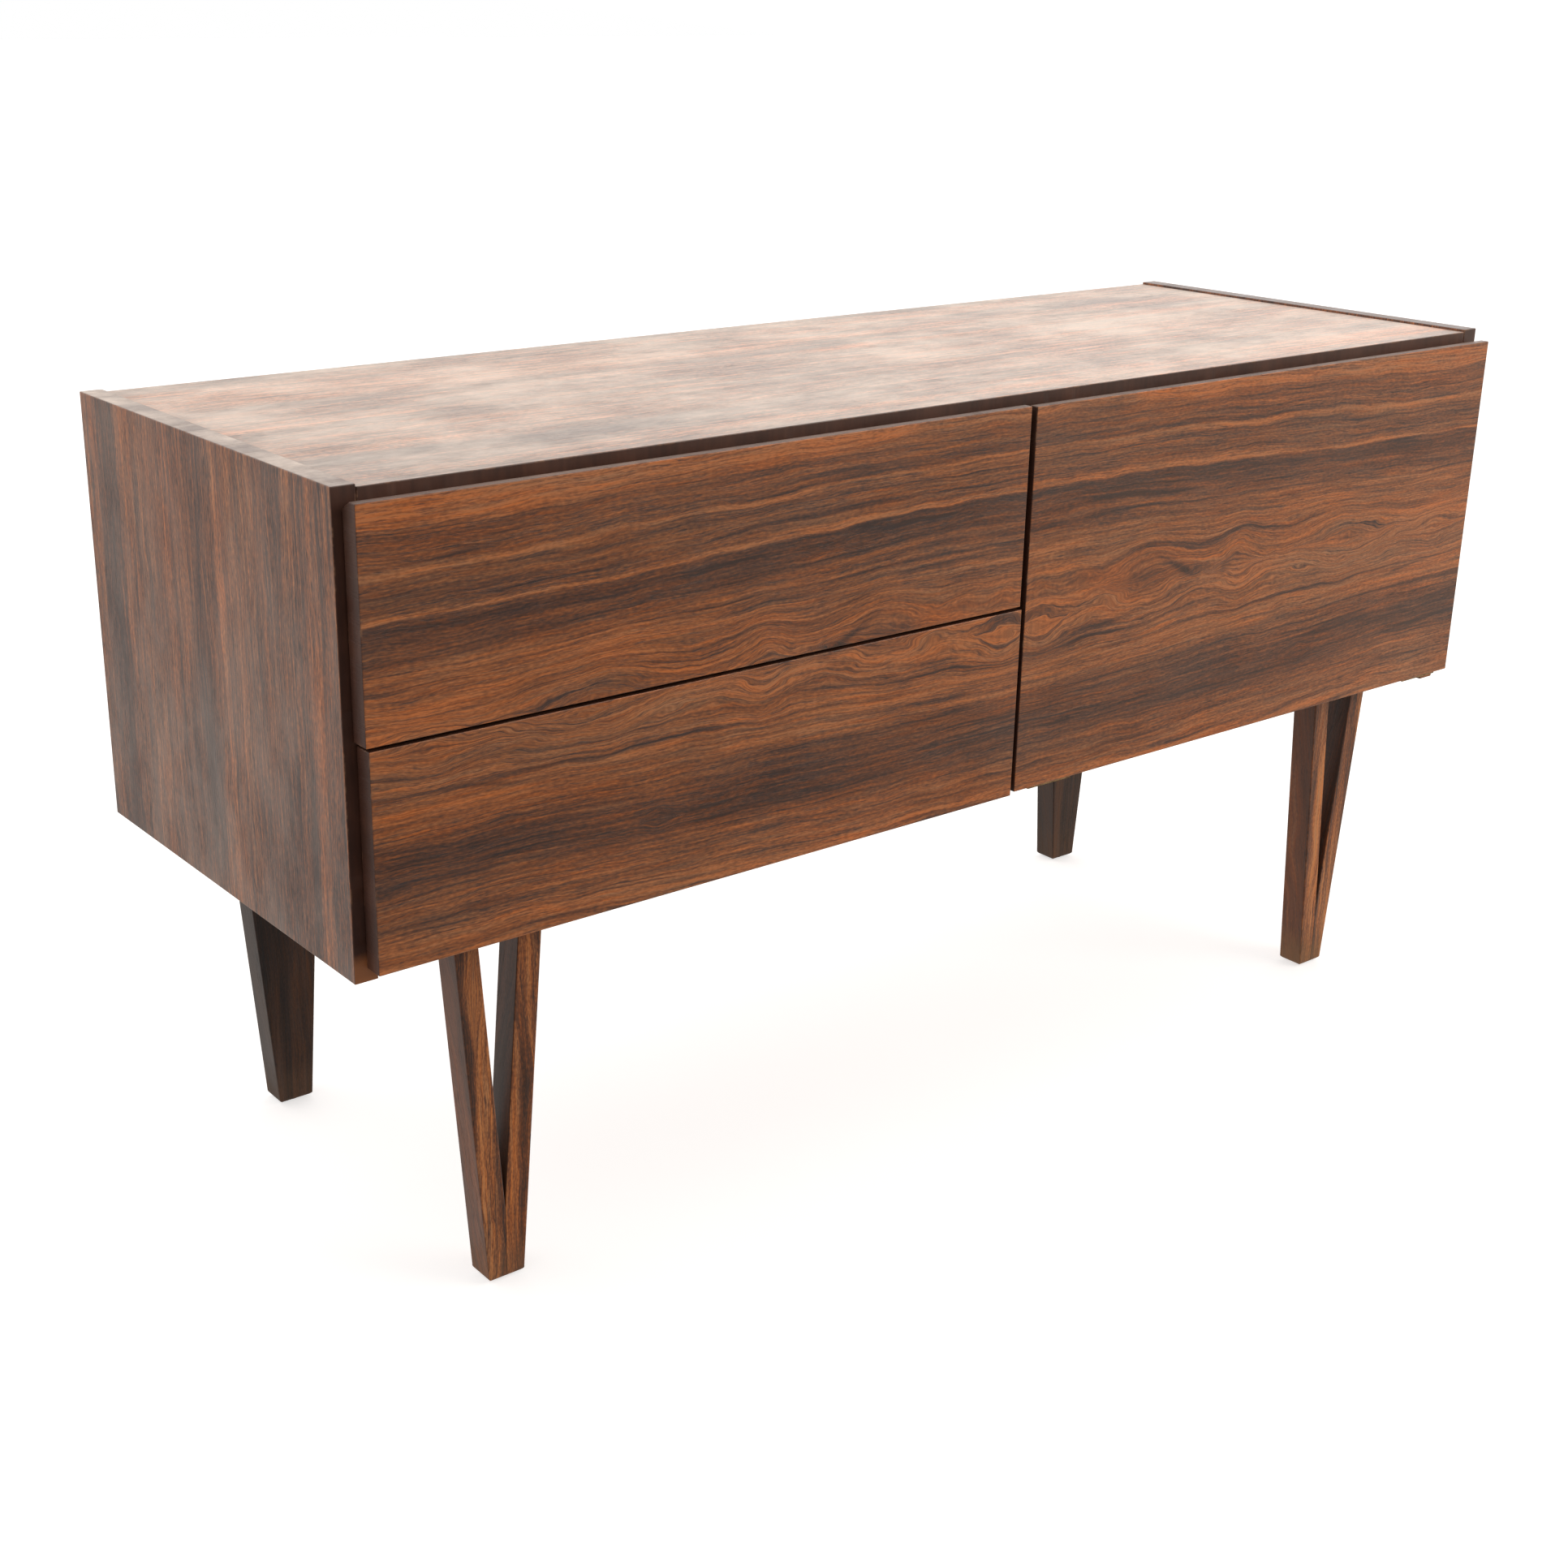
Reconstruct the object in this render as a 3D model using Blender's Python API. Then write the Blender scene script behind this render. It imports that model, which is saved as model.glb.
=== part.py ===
"""Low rosewood television cabinet: two drawers, a drop-down flap and four tapered legs.

Metres, +Z up. The front faces -Y. The origin is on the floor, under the middle of the cabinet.
"""

import math

import bmesh
import bpy
from mathutils import Euler, Vector

# Case
WIDTH = 1.200
CASE_DEPTH = 0.400
CASE_HEIGHT = 0.342
CASE_BOTTOM = 0.286
BOARD = 0.018
TOP_LIP = 0.002
BOTTOM_RECESS = 0.008
BACK_PANEL_THICKNESS = 0.005
BACK_PANEL_INSET = 0.006

# Fronts, measured from the case's lower edge and its left and right sides
FRONT_THICKNESS = 0.017
FRONT_CLEARANCE = 0.0008
FRONTS_TOP = 0.3335
DRAWER_SPLIT = 0.1712
DRAWER_SPLIT_GAP = 0.0025
DRAWERS_BOTTOM = 0.0105
FLAP_TOP = 0.3325
FLAP_BOTTOM = 0.0128
DRAWER_SIDE_INSET = 0.0072
FLAP_SIDE_INSET = 0.0040
CENTRE_GAP = 0.006
LOWER_FRONT_SHIFT = 0.002
GRIP_BEVEL_DEPTH = 0.009
GRIP_BEVEL_DROP = 0.006

# Drawer boxes and their runners
BOX_SIDE_CLEARANCE = 0.0045
BOX_WALL = 0.012
BOX_LENGTH = 0.345
BOX_HEIGHT = 0.118
BOX_BOTTOM_THICKNESS = 0.004
BOX_BOTTOM_RAISE = 0.008
BOX_BACK_DROP = 0.010
LOWER_BOX_RAISE = 0.008
UPPER_BOX_RAISE = 0.010
GROOVE_DEPTH = 0.0065
RUNNER_HEIGHT = 0.012
RUNNER_WIDTH = 0.0098
RUNNER_LENGTH = 0.325
RUNNER_SETBACK = 0.014
RUNNER_PLAY = 0.0005

# Legs
LEG_TOP_WIDTH = 0.075
FOOT_WIDTH = 0.031
LEG_THICKNESS = 0.0255
LEG_SIDE_INSET = 0.0855
LEG_END_INSET = 0.015
NOTCH_WIDTH = 0.035
NOTCH_APEX_HEIGHT = 0.0655
LEG_PLATE_SIZE = (0.092, 0.056, 0.002)
GLIDE_RADIUS = 0.008
GLIDE_HEIGHT = 0.0010

# Flap hinges
HINGE_AXIS_FORWARD = 0.0036
HINGE_AXIS_HEIGHT = 0.0093
HINGE_LENGTH = 0.050
HINGE_END_INSET = 0.0175
KNUCKLE_RADIUS = 0.0032
KNUCKLE_BORE = 0.0014
HINGE_PIN_RADIUS = 0.0011
HINGE_PIN_OVERHANG = 0.0015
CASE_LEAF_THICKNESS = 0.0015
FLAP_LEAF_THICKNESS = 0.0012
CASE_LEAF_REACH = 0.0236
FLAP_LEAF_REACH = 0.0129
LEAF_RELIEF = 0.0042

# Flap stay: a rod on the flap that slides through a swivelling block on the case
STAY_RADIUS = 0.1605
STAY_FLAP_ANGLE = math.radians(4.6)
STAY_CASE_ANGLE = math.radians(20.0)
STAY_OPEN_ANGLE = math.radians(90.0)
ROD_RADIUS = 0.0025
ROD_SIDE_DISTANCE = 0.013
ROD_EYE_RADIUS = 0.0050
ROD_EYE_WIDTH = 0.0048
ROD_COLLAR_RADIUS = 0.0042
ROD_COLLAR_LENGTH = 0.005
STAY_PIN_RADIUS = 0.0018
STAY_PIN_BORE = 0.0021
BRACKET_PLATE = (0.016, 0.002, 0.034)
BRACKET_EAR_WIDTH = 0.0020
BRACKET_EAR_GAP = 0.0060
BRACKET_EAR_RADIUS = 0.0050
BLOCK_LENGTH = 0.020
BLOCK_WIDTH = 0.012
BLOCK_HEIGHT = 0.012
BLOCK_ROD_BORE = 0.0028
BLOCK_AXLE_BORE = 0.0028
BLOCK_AXLE_DEPTH = 0.0036
AXLE_RADIUS = 0.0025
AXLE_ENTRY = 0.0032
AXLE_PLATE_RADIUS = 0.011
AXLE_PLATE_THICKNESS = 0.002

# Catch, screws and shared values
CATCH_SIZE = (0.046, 0.014, 0.012)
CATCH_SETBACK = 0.0020
STRIKE_SIZE = (0.038, 0.0012, 0.012)
STRIKE_DROP = 0.003
SCREW_HEAD_RADIUS = 0.0040
SCREW_HEAD_HEIGHT = 0.0016
SCREW_SLOT_LENGTH = 0.010
SCREW_SLOT_WIDTH = 0.0009
SCREW_SLOT_DEPTH = 0.0008
SCREW_EDGE_DISTANCE = 0.012
CLEARANCE = 0.0003
EDGE_ROUND = 0.0007
HIDDEN_EDGE_ROUND = 0.0005
ARM_EDGE_ROUND = 0.0010
FOOT_EDGE_ROUND = 0.0040
ROUND_SEGMENTS = 20
GLIDE_SEGMENTS = 24
SHARP_ANGLE = math.radians(40.0)

# Worked out from the driving dimensions
FRONT_PROUD = FRONT_THICKNESS + FRONT_CLEARANCE
CASE_FRONT = FRONT_PROUD - (CASE_DEPTH + FRONT_PROUD) / 2
CASE_BACK = CASE_FRONT + CASE_DEPTH
CASE_TOP = CASE_BOTTOM + CASE_HEIGHT
HALF_WIDTH = WIDTH / 2
INNER_SIDE = HALF_WIDTH - BOARD
FOOT_Z = GLIDE_HEIGHT + CLEARANCE
HALF_BOARD = BOARD / 2
TOP_UPPER = CASE_TOP - TOP_LIP
TOP_LOWER = TOP_UPPER - BOARD
BOTTOM_LOWER = CASE_BOTTOM + BOTTOM_RECESS
BOTTOM_UPPER = BOTTOM_LOWER + BOARD
BACK_PANEL_REAR = CASE_BACK - BACK_PANEL_INSET
BACK_PANEL_FRONT = BACK_PANEL_REAR - BACK_PANEL_THICKNESS
FRONT_OUTER = CASE_FRONT - FRONT_PROUD
FRONT_INNER = CASE_FRONT - FRONT_CLEARANCE
HINGE_Y = CASE_FRONT - HINGE_AXIS_FORWARD
HINGE_Z = CASE_BOTTOM + HINGE_AXIS_HEIGHT
STAY_REST_ANGLE = -(STAY_FLAP_ANGLE + STAY_CASE_ANGLE) / 2
ROD_X = INNER_SIDE - ROD_SIDE_DISTANCE

FINISHES = {
    "rosewood": ((0.23, 0.095, 0.045), 0.42, 0.0),
    "beech": ((0.62, 0.43, 0.26), 0.55, 0.0),
    "plywood": ((0.48, 0.31, 0.18), 0.65, 0.0),
    "brass": ((0.72, 0.52, 0.24), 0.30, 1.0),
    "steel": ((0.56, 0.56, 0.55), 0.38, 1.0),
    "dark_plastic": ((0.045, 0.038, 0.033), 0.50, 0.0),
}


def clear_scene():
    """Remove whatever the file holds."""
    for obj in list(bpy.data.objects):
        bpy.data.objects.remove(obj, do_unlink=True)


def make_material(name, finish):
    """A Principled material of the object's own."""
    colour, roughness, metallic = FINISHES[finish]
    material = bpy.data.materials.new(name + "_finish")
    material.use_nodes = True
    shader = material.node_tree.nodes["Principled BSDF"]
    shader.inputs["Base Color"].default_value = (*colour, 1.0)
    shader.inputs["Roughness"].default_value = roughness
    shader.inputs["Metallic"].default_value = metallic
    return material


def make_axis(name, position):
    """An empty on a joint's axis, for the pieces that move together."""
    axis = bpy.data.objects.new(name, None)
    axis.location = position
    bpy.context.collection.objects.link(axis)
    return axis


def add_object(name, mesh_data, position, finish, parent=None, angle_x=0.0, smooth=False):
    """Turn a bmesh into a named object at a world position."""
    mesh = bpy.data.meshes.new(name)
    bmesh.ops.recalc_face_normals(mesh_data, faces=mesh_data.faces[:])
    mesh_data.to_mesh(mesh)
    mesh_data.free()
    if smooth:
        mesh.shade_smooth()
        mesh.set_sharp_from_angle(angle=SHARP_ANGLE)
    obj = bpy.data.objects.new(name, mesh)
    obj.data.materials.append(make_material(name, finish))
    obj.location = Vector(position) - (parent.location if parent else Vector((0, 0, 0)))
    obj.rotation_euler = Euler((angle_x, 0.0, 0.0))
    obj.parent = parent
    bpy.context.collection.objects.link(obj)
    return obj


def box_mesh(size, centre=(0.0, 0.0, 0.0)):
    """A bmesh box of a full size about a centre."""
    mesh_data = bmesh.new()
    bmesh.ops.create_cube(mesh_data, size=1.0)
    bmesh.ops.scale(mesh_data, vec=size, verts=mesh_data.verts[:])
    bmesh.ops.translate(mesh_data, vec=centre, verts=mesh_data.verts[:])
    return mesh_data


def round_edges(mesh_data, width, segments, pick=lambda edge: True):
    """Round the edges that pick() is true for, which is all of them if it isn't given."""
    edges = [e for e in mesh_data.edges if pick(e)]
    bmesh.ops.bevel(
        mesh_data, geom=edges, offset=width, segments=segments, profile=0.5, affect="EDGES"
    )


def cylinder_mesh(radius, length, axis="X", centre=(0.0, 0.0, 0.0), segments=ROUND_SEGMENTS):
    """A bmesh cylinder along X, Y or Z about a centre."""
    mesh_data = bmesh.new()
    bmesh.ops.create_cone(
        mesh_data, cap_ends=True, segments=segments, radius1=radius, radius2=radius, depth=length
    )
    turn = {"X": Euler((0, math.pi / 2, 0)), "Y": Euler((math.pi / 2, 0, 0)), "Z": Euler((0, 0, 0))}
    bmesh.ops.rotate(mesh_data, matrix=turn[axis].to_matrix(), verts=mesh_data.verts[:])
    bmesh.ops.translate(mesh_data, vec=centre, verts=mesh_data.verts[:])
    return mesh_data


def prism_mesh(outline, plane, length):
    """Extrude a closed outline in the XZ plane along Y, or one in the YZ plane along X."""
    mesh_data = bmesh.new()
    half = length / 2
    if plane == "XZ":
        points = [(u, -half, v) for u, v in outline]
        travel = (0.0, length, 0.0)
    else:
        points = [(-half, u, v) for u, v in outline]
        travel = (length, 0.0, 0.0)
    face = mesh_data.faces.new([mesh_data.verts.new(p) for p in points])
    grown = bmesh.ops.extrude_face_region(mesh_data, geom=[face])
    moved = [v for v in grown["geom"] if isinstance(v, bmesh.types.BMVert)]
    bmesh.ops.translate(mesh_data, vec=travel, verts=moved)
    return mesh_data


def scratch_object(mesh_data):
    """A nameless helper that a Boolean uses up."""
    mesh = bpy.data.meshes.new("helper")
    bmesh.ops.recalc_face_normals(mesh_data, faces=mesh_data.faces[:])
    mesh_data.to_mesh(mesh)
    mesh_data.free()
    obj = bpy.data.objects.new("helper", mesh)
    bpy.context.collection.objects.link(obj)
    return obj


def combine(base, steps):
    """Join or cut a bmesh with others, in order, and return the result as a bmesh."""
    body = scratch_object(base)
    helpers = []
    for operation, mesh_data in steps:
        helper = scratch_object(mesh_data)
        modifier = body.modifiers.new(operation, "BOOLEAN")
        modifier.operation = operation
        modifier.solver = "EXACT"
        modifier.object = helper
        helpers.append(helper)
    evaluated = body.evaluated_get(bpy.context.evaluated_depsgraph_get())
    result = bmesh.new()
    result.from_mesh(evaluated.to_mesh())
    evaluated.to_mesh_clear()
    for obj in [body, *helpers]:
        bpy.data.objects.remove(obj, do_unlink=True)
    return result


def add_board(name, low, high, finish, parent=None, visible=True):
    """A flat board between two corners, with its edges eased."""
    low, high = Vector(low), Vector(high)
    mesh_data = box_mesh(high - low)
    width = EDGE_ROUND if visible else HIDDEN_EDGE_ROUND
    round_edges(mesh_data, width, 2 if visible else 1)
    return add_object(name, mesh_data, (low + high) / 2, finish, parent)


def build_case():
    """Sides, top, bottom, centre divider and the thin back."""
    for side, name in ((-1, "side_panel_left"), (1, "side_panel_right")):
        edges = sorted((side * HALF_WIDTH, side * INNER_SIDE))
        add_board(
            name,
            (edges[0], CASE_FRONT, CASE_BOTTOM),
            (edges[1], CASE_BACK, CASE_TOP),
            "rosewood",
        )
    inner = INNER_SIDE - CLEARANCE
    add_board("top_panel", (-inner, CASE_FRONT, TOP_LOWER), (inner, CASE_BACK, TOP_UPPER), "rosewood")
    add_board(
        "bottom_panel",
        (-inner, CASE_FRONT, BOTTOM_LOWER),
        (inner, CASE_BACK, BOTTOM_UPPER),
        "rosewood",
    )
    add_board(
        "centre_divider",
        (-HALF_BOARD, CASE_FRONT, BOTTOM_UPPER + CLEARANCE),
        (HALF_BOARD, BACK_PANEL_FRONT - CLEARANCE, TOP_LOWER - CLEARANCE),
        "rosewood",
    )
    add_board(
        "back_panel",
        (-inner, BACK_PANEL_FRONT, BOTTOM_UPPER + CLEARANCE),
        (inner, BACK_PANEL_REAR, TOP_LOWER - CLEARANCE),
        "plywood",
        visible=False,
    )


def build_back_screws():
    """Slotted screw heads that hold the back panel, three along the top and three below."""
    rows = (("lower", BOTTOM_UPPER + SCREW_EDGE_DISTANCE), ("upper", TOP_LOWER - SCREW_EDGE_DISTANCE))
    columns = (("left", -INNER_SIDE + SCREW_EDGE_DISTANCE), ("middle", 0.0))
    columns += (("right", INNER_SIDE - SCREW_EDGE_DISTANCE),)
    slot = (SCREW_SLOT_LENGTH, 2 * SCREW_SLOT_DEPTH, SCREW_SLOT_WIDTH)
    for row, height in rows:
        for column, across in columns:
            head = cylinder_mesh(SCREW_HEAD_RADIUS, SCREW_HEAD_HEIGHT, "Y")
            cut = box_mesh(slot, (0.0, SCREW_HEAD_HEIGHT / 2, 0.0))
            position = (across, BACK_PANEL_REAR + CLEARANCE + SCREW_HEAD_HEIGHT / 2, height)
            mesh_data = combine(head, [("DIFFERENCE", cut)])
            name = f"back_screw_{row}_{column}"
            add_object(name, mesh_data, position, "steel", smooth=True)


def leg_outlines():
    """Half of the V leg, and the whole back leg, as XZ outlines about the leg's middle."""
    top = BOTTOM_LOWER - 2 * CLEARANCE - LEG_PLATE_SIZE[2]
    glued = -CLEARANCE / 2
    arm = [
        (-LEG_TOP_WIDTH / 2, top),
        (-FOOT_WIDTH / 2, FOOT_Z),
        (glued, FOOT_Z),
        (glued, NOTCH_APEX_HEIGHT),
        (-NOTCH_WIDTH / 2, top),
    ]
    whole = [
        (-LEG_TOP_WIDTH / 2, top),
        (-FOOT_WIDTH / 2, FOOT_Z),
        (FOOT_WIDTH / 2, FOOT_Z),
        (LEG_TOP_WIDTH / 2, top),
    ]
    return arm, whole


def add_leg_piece(name, outline, position):
    """Extrude a leg outline; ease its edges, roundest at the foot and not along a glued joint."""
    mesh_data = prism_mesh(outline, "XZ", LEG_THICKNESS)

    def is_glued(edge):
        return all(abs(v.co.x) < CLEARANCE for v in edge.verts)

    def is_below(edge, height):
        return all(v.co.z < height for v in edge.verts)

    round_edges(
        mesh_data,
        FOOT_EDGE_ROUND,
        3,
        pick=lambda e: is_below(e, FOOT_Z + CLEARANCE) and not is_glued(e),
    )
    round_edges(
        mesh_data,
        ARM_EDGE_ROUND,
        2,
        pick=lambda e: not is_below(e, FOOT_Z + 2 * FOOT_EDGE_ROUND) and not is_glued(e),
    )
    return add_object(name, mesh_data, position, "rosewood")


def build_legs():
    """V legs at the front, solid tapered legs at the back, each with a plate and a glide."""
    arm, whole = leg_outlines()
    mirrored_arm = [(-x, z) for x, z in reversed(arm)]
    middle = HALF_WIDTH - LEG_SIDE_INSET - LEG_TOP_WIDTH / 2
    half_leg = LEG_THICKNESS / 2
    front_y = CASE_FRONT + LEG_END_INSET + half_leg
    back_y = CASE_BACK - LEG_END_INSET - half_leg
    plate_z = BOTTOM_LOWER - CLEARANCE - LEG_PLATE_SIZE[2] / 2
    plate_shift = LEG_PLATE_SIZE[1] / 2 - half_leg
    for side, side_name in ((-1, "left"), (1, "right")):
        x = side * middle
        outer, inner = (arm, mirrored_arm) if side < 0 else (mirrored_arm, arm)
        add_leg_piece(f"front_leg_{side_name}_outer_arm", outer, (x, front_y, 0.0))
        add_leg_piece(f"front_leg_{side_name}_inner_arm", inner, (x, front_y, 0.0))
        add_leg_piece(f"back_leg_{side_name}", whole, (x, back_y, 0.0))
        for end_name, y, inward in (("front", front_y, 1), ("back", back_y, -1)):
            plate = box_mesh(LEG_PLATE_SIZE)
            position = (x, y + inward * plate_shift, plate_z)
            add_object(f"leg_plate_{end_name}_{side_name}", plate, position, "steel")
            glide = cylinder_mesh(GLIDE_RADIUS, GLIDE_HEIGHT, "Z", segments=GLIDE_SEGMENTS)
            position = (x, y, GLIDE_HEIGHT / 2)
            name = f"glide_{end_name}_{side_name}"
            add_object(name, glide, position, "dark_plastic", smooth=True)


def front_mesh(width, height, grip):
    """An overlay front about its centre; a grip front has the rear of its top edge cut away."""
    y0, y1 = -FRONT_THICKNESS / 2, FRONT_THICKNESS / 2
    z0, z1 = -height / 2, height / 2
    outline = [(y0, z0), (y1, z0), (y1, z1), (y0, z1)]
    if grip:
        outline[2:3] = [(y1, z1 - GRIP_BEVEL_DROP), (y1 - GRIP_BEVEL_DEPTH, z1)]
    mesh_data = prism_mesh(outline, "YZ", width)
    round_edges(mesh_data, EDGE_ROUND, 2)
    return mesh_data


def side_with_groove(facing):
    """Cross-section of a drawer side in XZ, grooved on the face that looks along facing."""
    half_wall, half_height = BOX_WALL / 2, BOX_HEIGHT / 2
    half_groove = RUNNER_HEIGHT / 2 + RUNNER_PLAY
    outer = facing * half_wall
    depth = outer - facing * GROOVE_DEPTH
    return [
        (-outer, -half_height),
        (outer, -half_height),
        (outer, -half_groove),
        (depth, -half_groove),
        (depth, half_groove),
        (outer, half_groove),
        (outer, half_height),
        (-outer, half_height),
    ]


def build_drawer(name, box_z, front_z, front_shift, grip):
    """One drawer: overlay front, box front, two grooved sides, back and bottom."""
    axis = make_axis(name + "_slide", (-HALF_WIDTH / 2, CASE_FRONT, box_z + BOX_HEIGHT / 2))
    left = -INNER_SIDE + BOX_SIDE_CLEARANCE
    right = -HALF_BOARD - BOX_SIDE_CLEARANCE
    front_left = -HALF_WIDTH + DRAWER_SIDE_INSET + front_shift
    front_right = -CENTRE_GAP / 2 + front_shift
    z0, z1 = front_z
    add_object(
        name + "_front",
        front_mesh(front_right - front_left, z1 - z0, grip),
        ((front_left + front_right) / 2, (FRONT_OUTER + FRONT_INNER) / 2, (z0 + z1) / 2),
        "rosewood",
        axis,
    )
    box_front = FRONT_INNER + CLEARANCE
    walls_front = box_front + BOX_WALL + CLEARANCE
    box_back = CASE_FRONT + BOX_LENGTH
    box_top = box_z + BOX_HEIGHT
    add_board(
        name + "_box_front",
        (left, box_front, box_z),
        (right, box_front + BOX_WALL, box_top),
        "beech",
        axis,
        visible=False,
    )
    for side, side_name, x in (
        (-1, "left", left + BOX_WALL / 2),
        (1, "right", right - BOX_WALL / 2),
    ):
        mesh_data = prism_mesh(side_with_groove(side), "XZ", box_back - walls_front)
        position = (x, (walls_front + box_back) / 2, box_z + BOX_HEIGHT / 2)
        add_object(f"{name}_side_{side_name}", mesh_data, position, "beech", axis)
    inner_left = left + BOX_WALL + CLEARANCE
    inner_right = right - BOX_WALL - CLEARANCE
    bottom_z = box_z + BOX_BOTTOM_RAISE
    bottom_top = bottom_z + BOX_BOTTOM_THICKNESS
    add_board(
        name + "_back",
        (inner_left, box_back - BOX_WALL, bottom_top + CLEARANCE),
        (inner_right, box_back, box_top - BOX_BACK_DROP),
        "beech",
        axis,
        visible=False,
    )
    bottom = box_mesh((inner_right - inner_left, box_back - walls_front, BOX_BOTTOM_THICKNESS))
    position = (
        (inner_left + inner_right) / 2,
        (walls_front + box_back) / 2,
        (bottom_z + bottom_top) / 2,
    )
    add_object(name + "_bottom", bottom, position, "plywood", axis)


def build_runners(name, box_z):
    """The hardwood strips on the case that the drawer's grooves slide on."""
    z = box_z + BOX_HEIGHT / 2
    y0 = CASE_FRONT + RUNNER_SETBACK
    left = -INNER_SIDE + CLEARANCE
    right = -HALF_BOARD - CLEARANCE - RUNNER_WIDTH
    for side_name, x in (("left", left), ("right", right)):
        add_board(
            f"{name}_runner_{side_name}",
            (x, y0, z - RUNNER_HEIGHT / 2),
            (x + RUNNER_WIDTH, y0 + RUNNER_LENGTH, z + RUNNER_HEIGHT / 2),
            "beech",
            visible=False,
        )


def build_drawers():
    """Both drawers with their runners."""
    split_half = DRAWER_SPLIT_GAP / 2
    lower_box = BOTTOM_UPPER + LOWER_BOX_RAISE
    upper_box = CASE_BOTTOM + DRAWER_SPLIT + UPPER_BOX_RAISE
    lower_front = (CASE_BOTTOM + DRAWERS_BOTTOM, CASE_BOTTOM + DRAWER_SPLIT - split_half)
    upper_front = (CASE_BOTTOM + DRAWER_SPLIT + split_half, CASE_BOTTOM + FRONTS_TOP)
    build_drawer("upper_drawer", upper_box, upper_front, 0.0, grip=True)
    build_drawer("lower_drawer", lower_box, lower_front, LOWER_FRONT_SHIFT, grip=False)
    build_runners("upper_drawer", upper_box)
    build_runners("lower_drawer", lower_box)


def knuckle_spans():
    """The three knuckles along a hinge, as (start, end): case, flap, case."""
    third = HINGE_LENGTH / 3
    half = HINGE_LENGTH / 2
    gap = CLEARANCE / 2
    return [
        (-half, -half + third - gap),
        (-half + third + gap, half - third - gap),
        (half - third + gap, half),
    ]


def leaf_mesh(spans, reach, z0, z1, direction):
    """A hinge leaf about the hinge axis: a plate, its knuckles and the bore through them."""
    inner, outer = direction * LEAF_RELIEF, direction * reach
    plate = box_mesh(
        (HINGE_LENGTH, abs(outer - inner), z1 - z0), (0.0, (inner + outer) / 2, (z0 + z1) / 2)
    )
    steps = []
    for start, end in spans:
        length, middle = end - start, (start + end) / 2
        overlap = direction * 2 * CLEARANCE
        arm_depth = abs(inner) + abs(overlap)
        arm = box_mesh(
            (length, arm_depth, z1 - z0), (middle, direction * arm_depth / 2, (z0 + z1) / 2)
        )
        steps.append(("UNION", arm))
        steps.append(("UNION", cylinder_mesh(KNUCKLE_RADIUS, length, "X", (middle, 0.0, 0.0))))
    bore = cylinder_mesh(KNUCKLE_BORE, 2 * HINGE_LENGTH, "X")
    steps.append(("DIFFERENCE", bore))
    return combine(plate, steps)


def build_flap():
    """The drop-down flap and its two butt hinges; returns the flap's axis."""
    axis = make_axis("flap_hinge_axis", ((CENTRE_GAP / 2 + HALF_WIDTH) / 2, HINGE_Y, HINGE_Z))
    left, right = CENTRE_GAP / 2, HALF_WIDTH - FLAP_SIDE_INSET
    z0, z1 = CASE_BOTTOM + FLAP_BOTTOM, CASE_BOTTOM + FLAP_TOP
    add_object(
        "flap_panel",
        front_mesh(right - left, z1 - z0, grip=True),
        ((left + right) / 2, (FRONT_OUTER + FRONT_INNER) / 2, (z0 + z1) / 2),
        "rosewood",
        axis,
    )
    spans = knuckle_spans()
    case_top = BOTTOM_LOWER - CLEARANCE - HINGE_Z
    flap_top = z0 - CLEARANCE - HINGE_Z
    inset = HINGE_END_INSET + HINGE_LENGTH / 2
    for side_name, x in (("left", left + inset), ("right", right - inset)):
        position = (x, HINGE_Y, HINGE_Z)
        case_leaf = leaf_mesh(
            [spans[0], spans[2]], CASE_LEAF_REACH, case_top - CASE_LEAF_THICKNESS, case_top, 1
        )
        flap_leaf = leaf_mesh(
            [spans[1]], FLAP_LEAF_REACH, flap_top - FLAP_LEAF_THICKNESS, flap_top, -1
        )
        pin = cylinder_mesh(HINGE_PIN_RADIUS, HINGE_LENGTH + 2 * HINGE_PIN_OVERHANG, "X")
        add_object(f"hinge_{side_name}_case_leaf", case_leaf, position, "brass", smooth=True)
        add_object(f"hinge_{side_name}_flap_leaf", flap_leaf, position, "brass", axis, smooth=True)
        add_object(f"hinge_{side_name}_pin", pin, position, "brass", smooth=True)
    return axis


def build_catch(flap_axis):
    """The catch under the top panel and the strike plate on the flap that it holds."""
    catch_x = (HALF_BOARD + INNER_SIDE) / 2
    catch_z = TOP_LOWER - CLEARANCE - CATCH_SIZE[2] / 2
    catch_y = CASE_FRONT + CATCH_SETBACK + CATCH_SIZE[1] / 2
    strike_y = FRONT_INNER + CLEARANCE + STRIKE_SIZE[1] / 2
    strike_z = TOP_LOWER - STRIKE_DROP - STRIKE_SIZE[2] / 2
    body = box_mesh(CATCH_SIZE)
    round_edges(body, HIDDEN_EDGE_ROUND, 2)
    add_object("catch_body", body, (catch_x, catch_y, catch_z), "dark_plastic")
    strike = box_mesh(STRIKE_SIZE)
    add_object("catch_strike", strike, (catch_x, strike_y, strike_z), "steel", flap_axis)


def stay_point(angle_behind_vertical):
    """A point on the stay's circle about the hinge axis, as (y, z)."""
    y = HINGE_Y + STAY_RADIUS * math.sin(angle_behind_vertical)
    z = HINGE_Z + STAY_RADIUS * math.cos(angle_behind_vertical)
    return y, z


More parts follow.
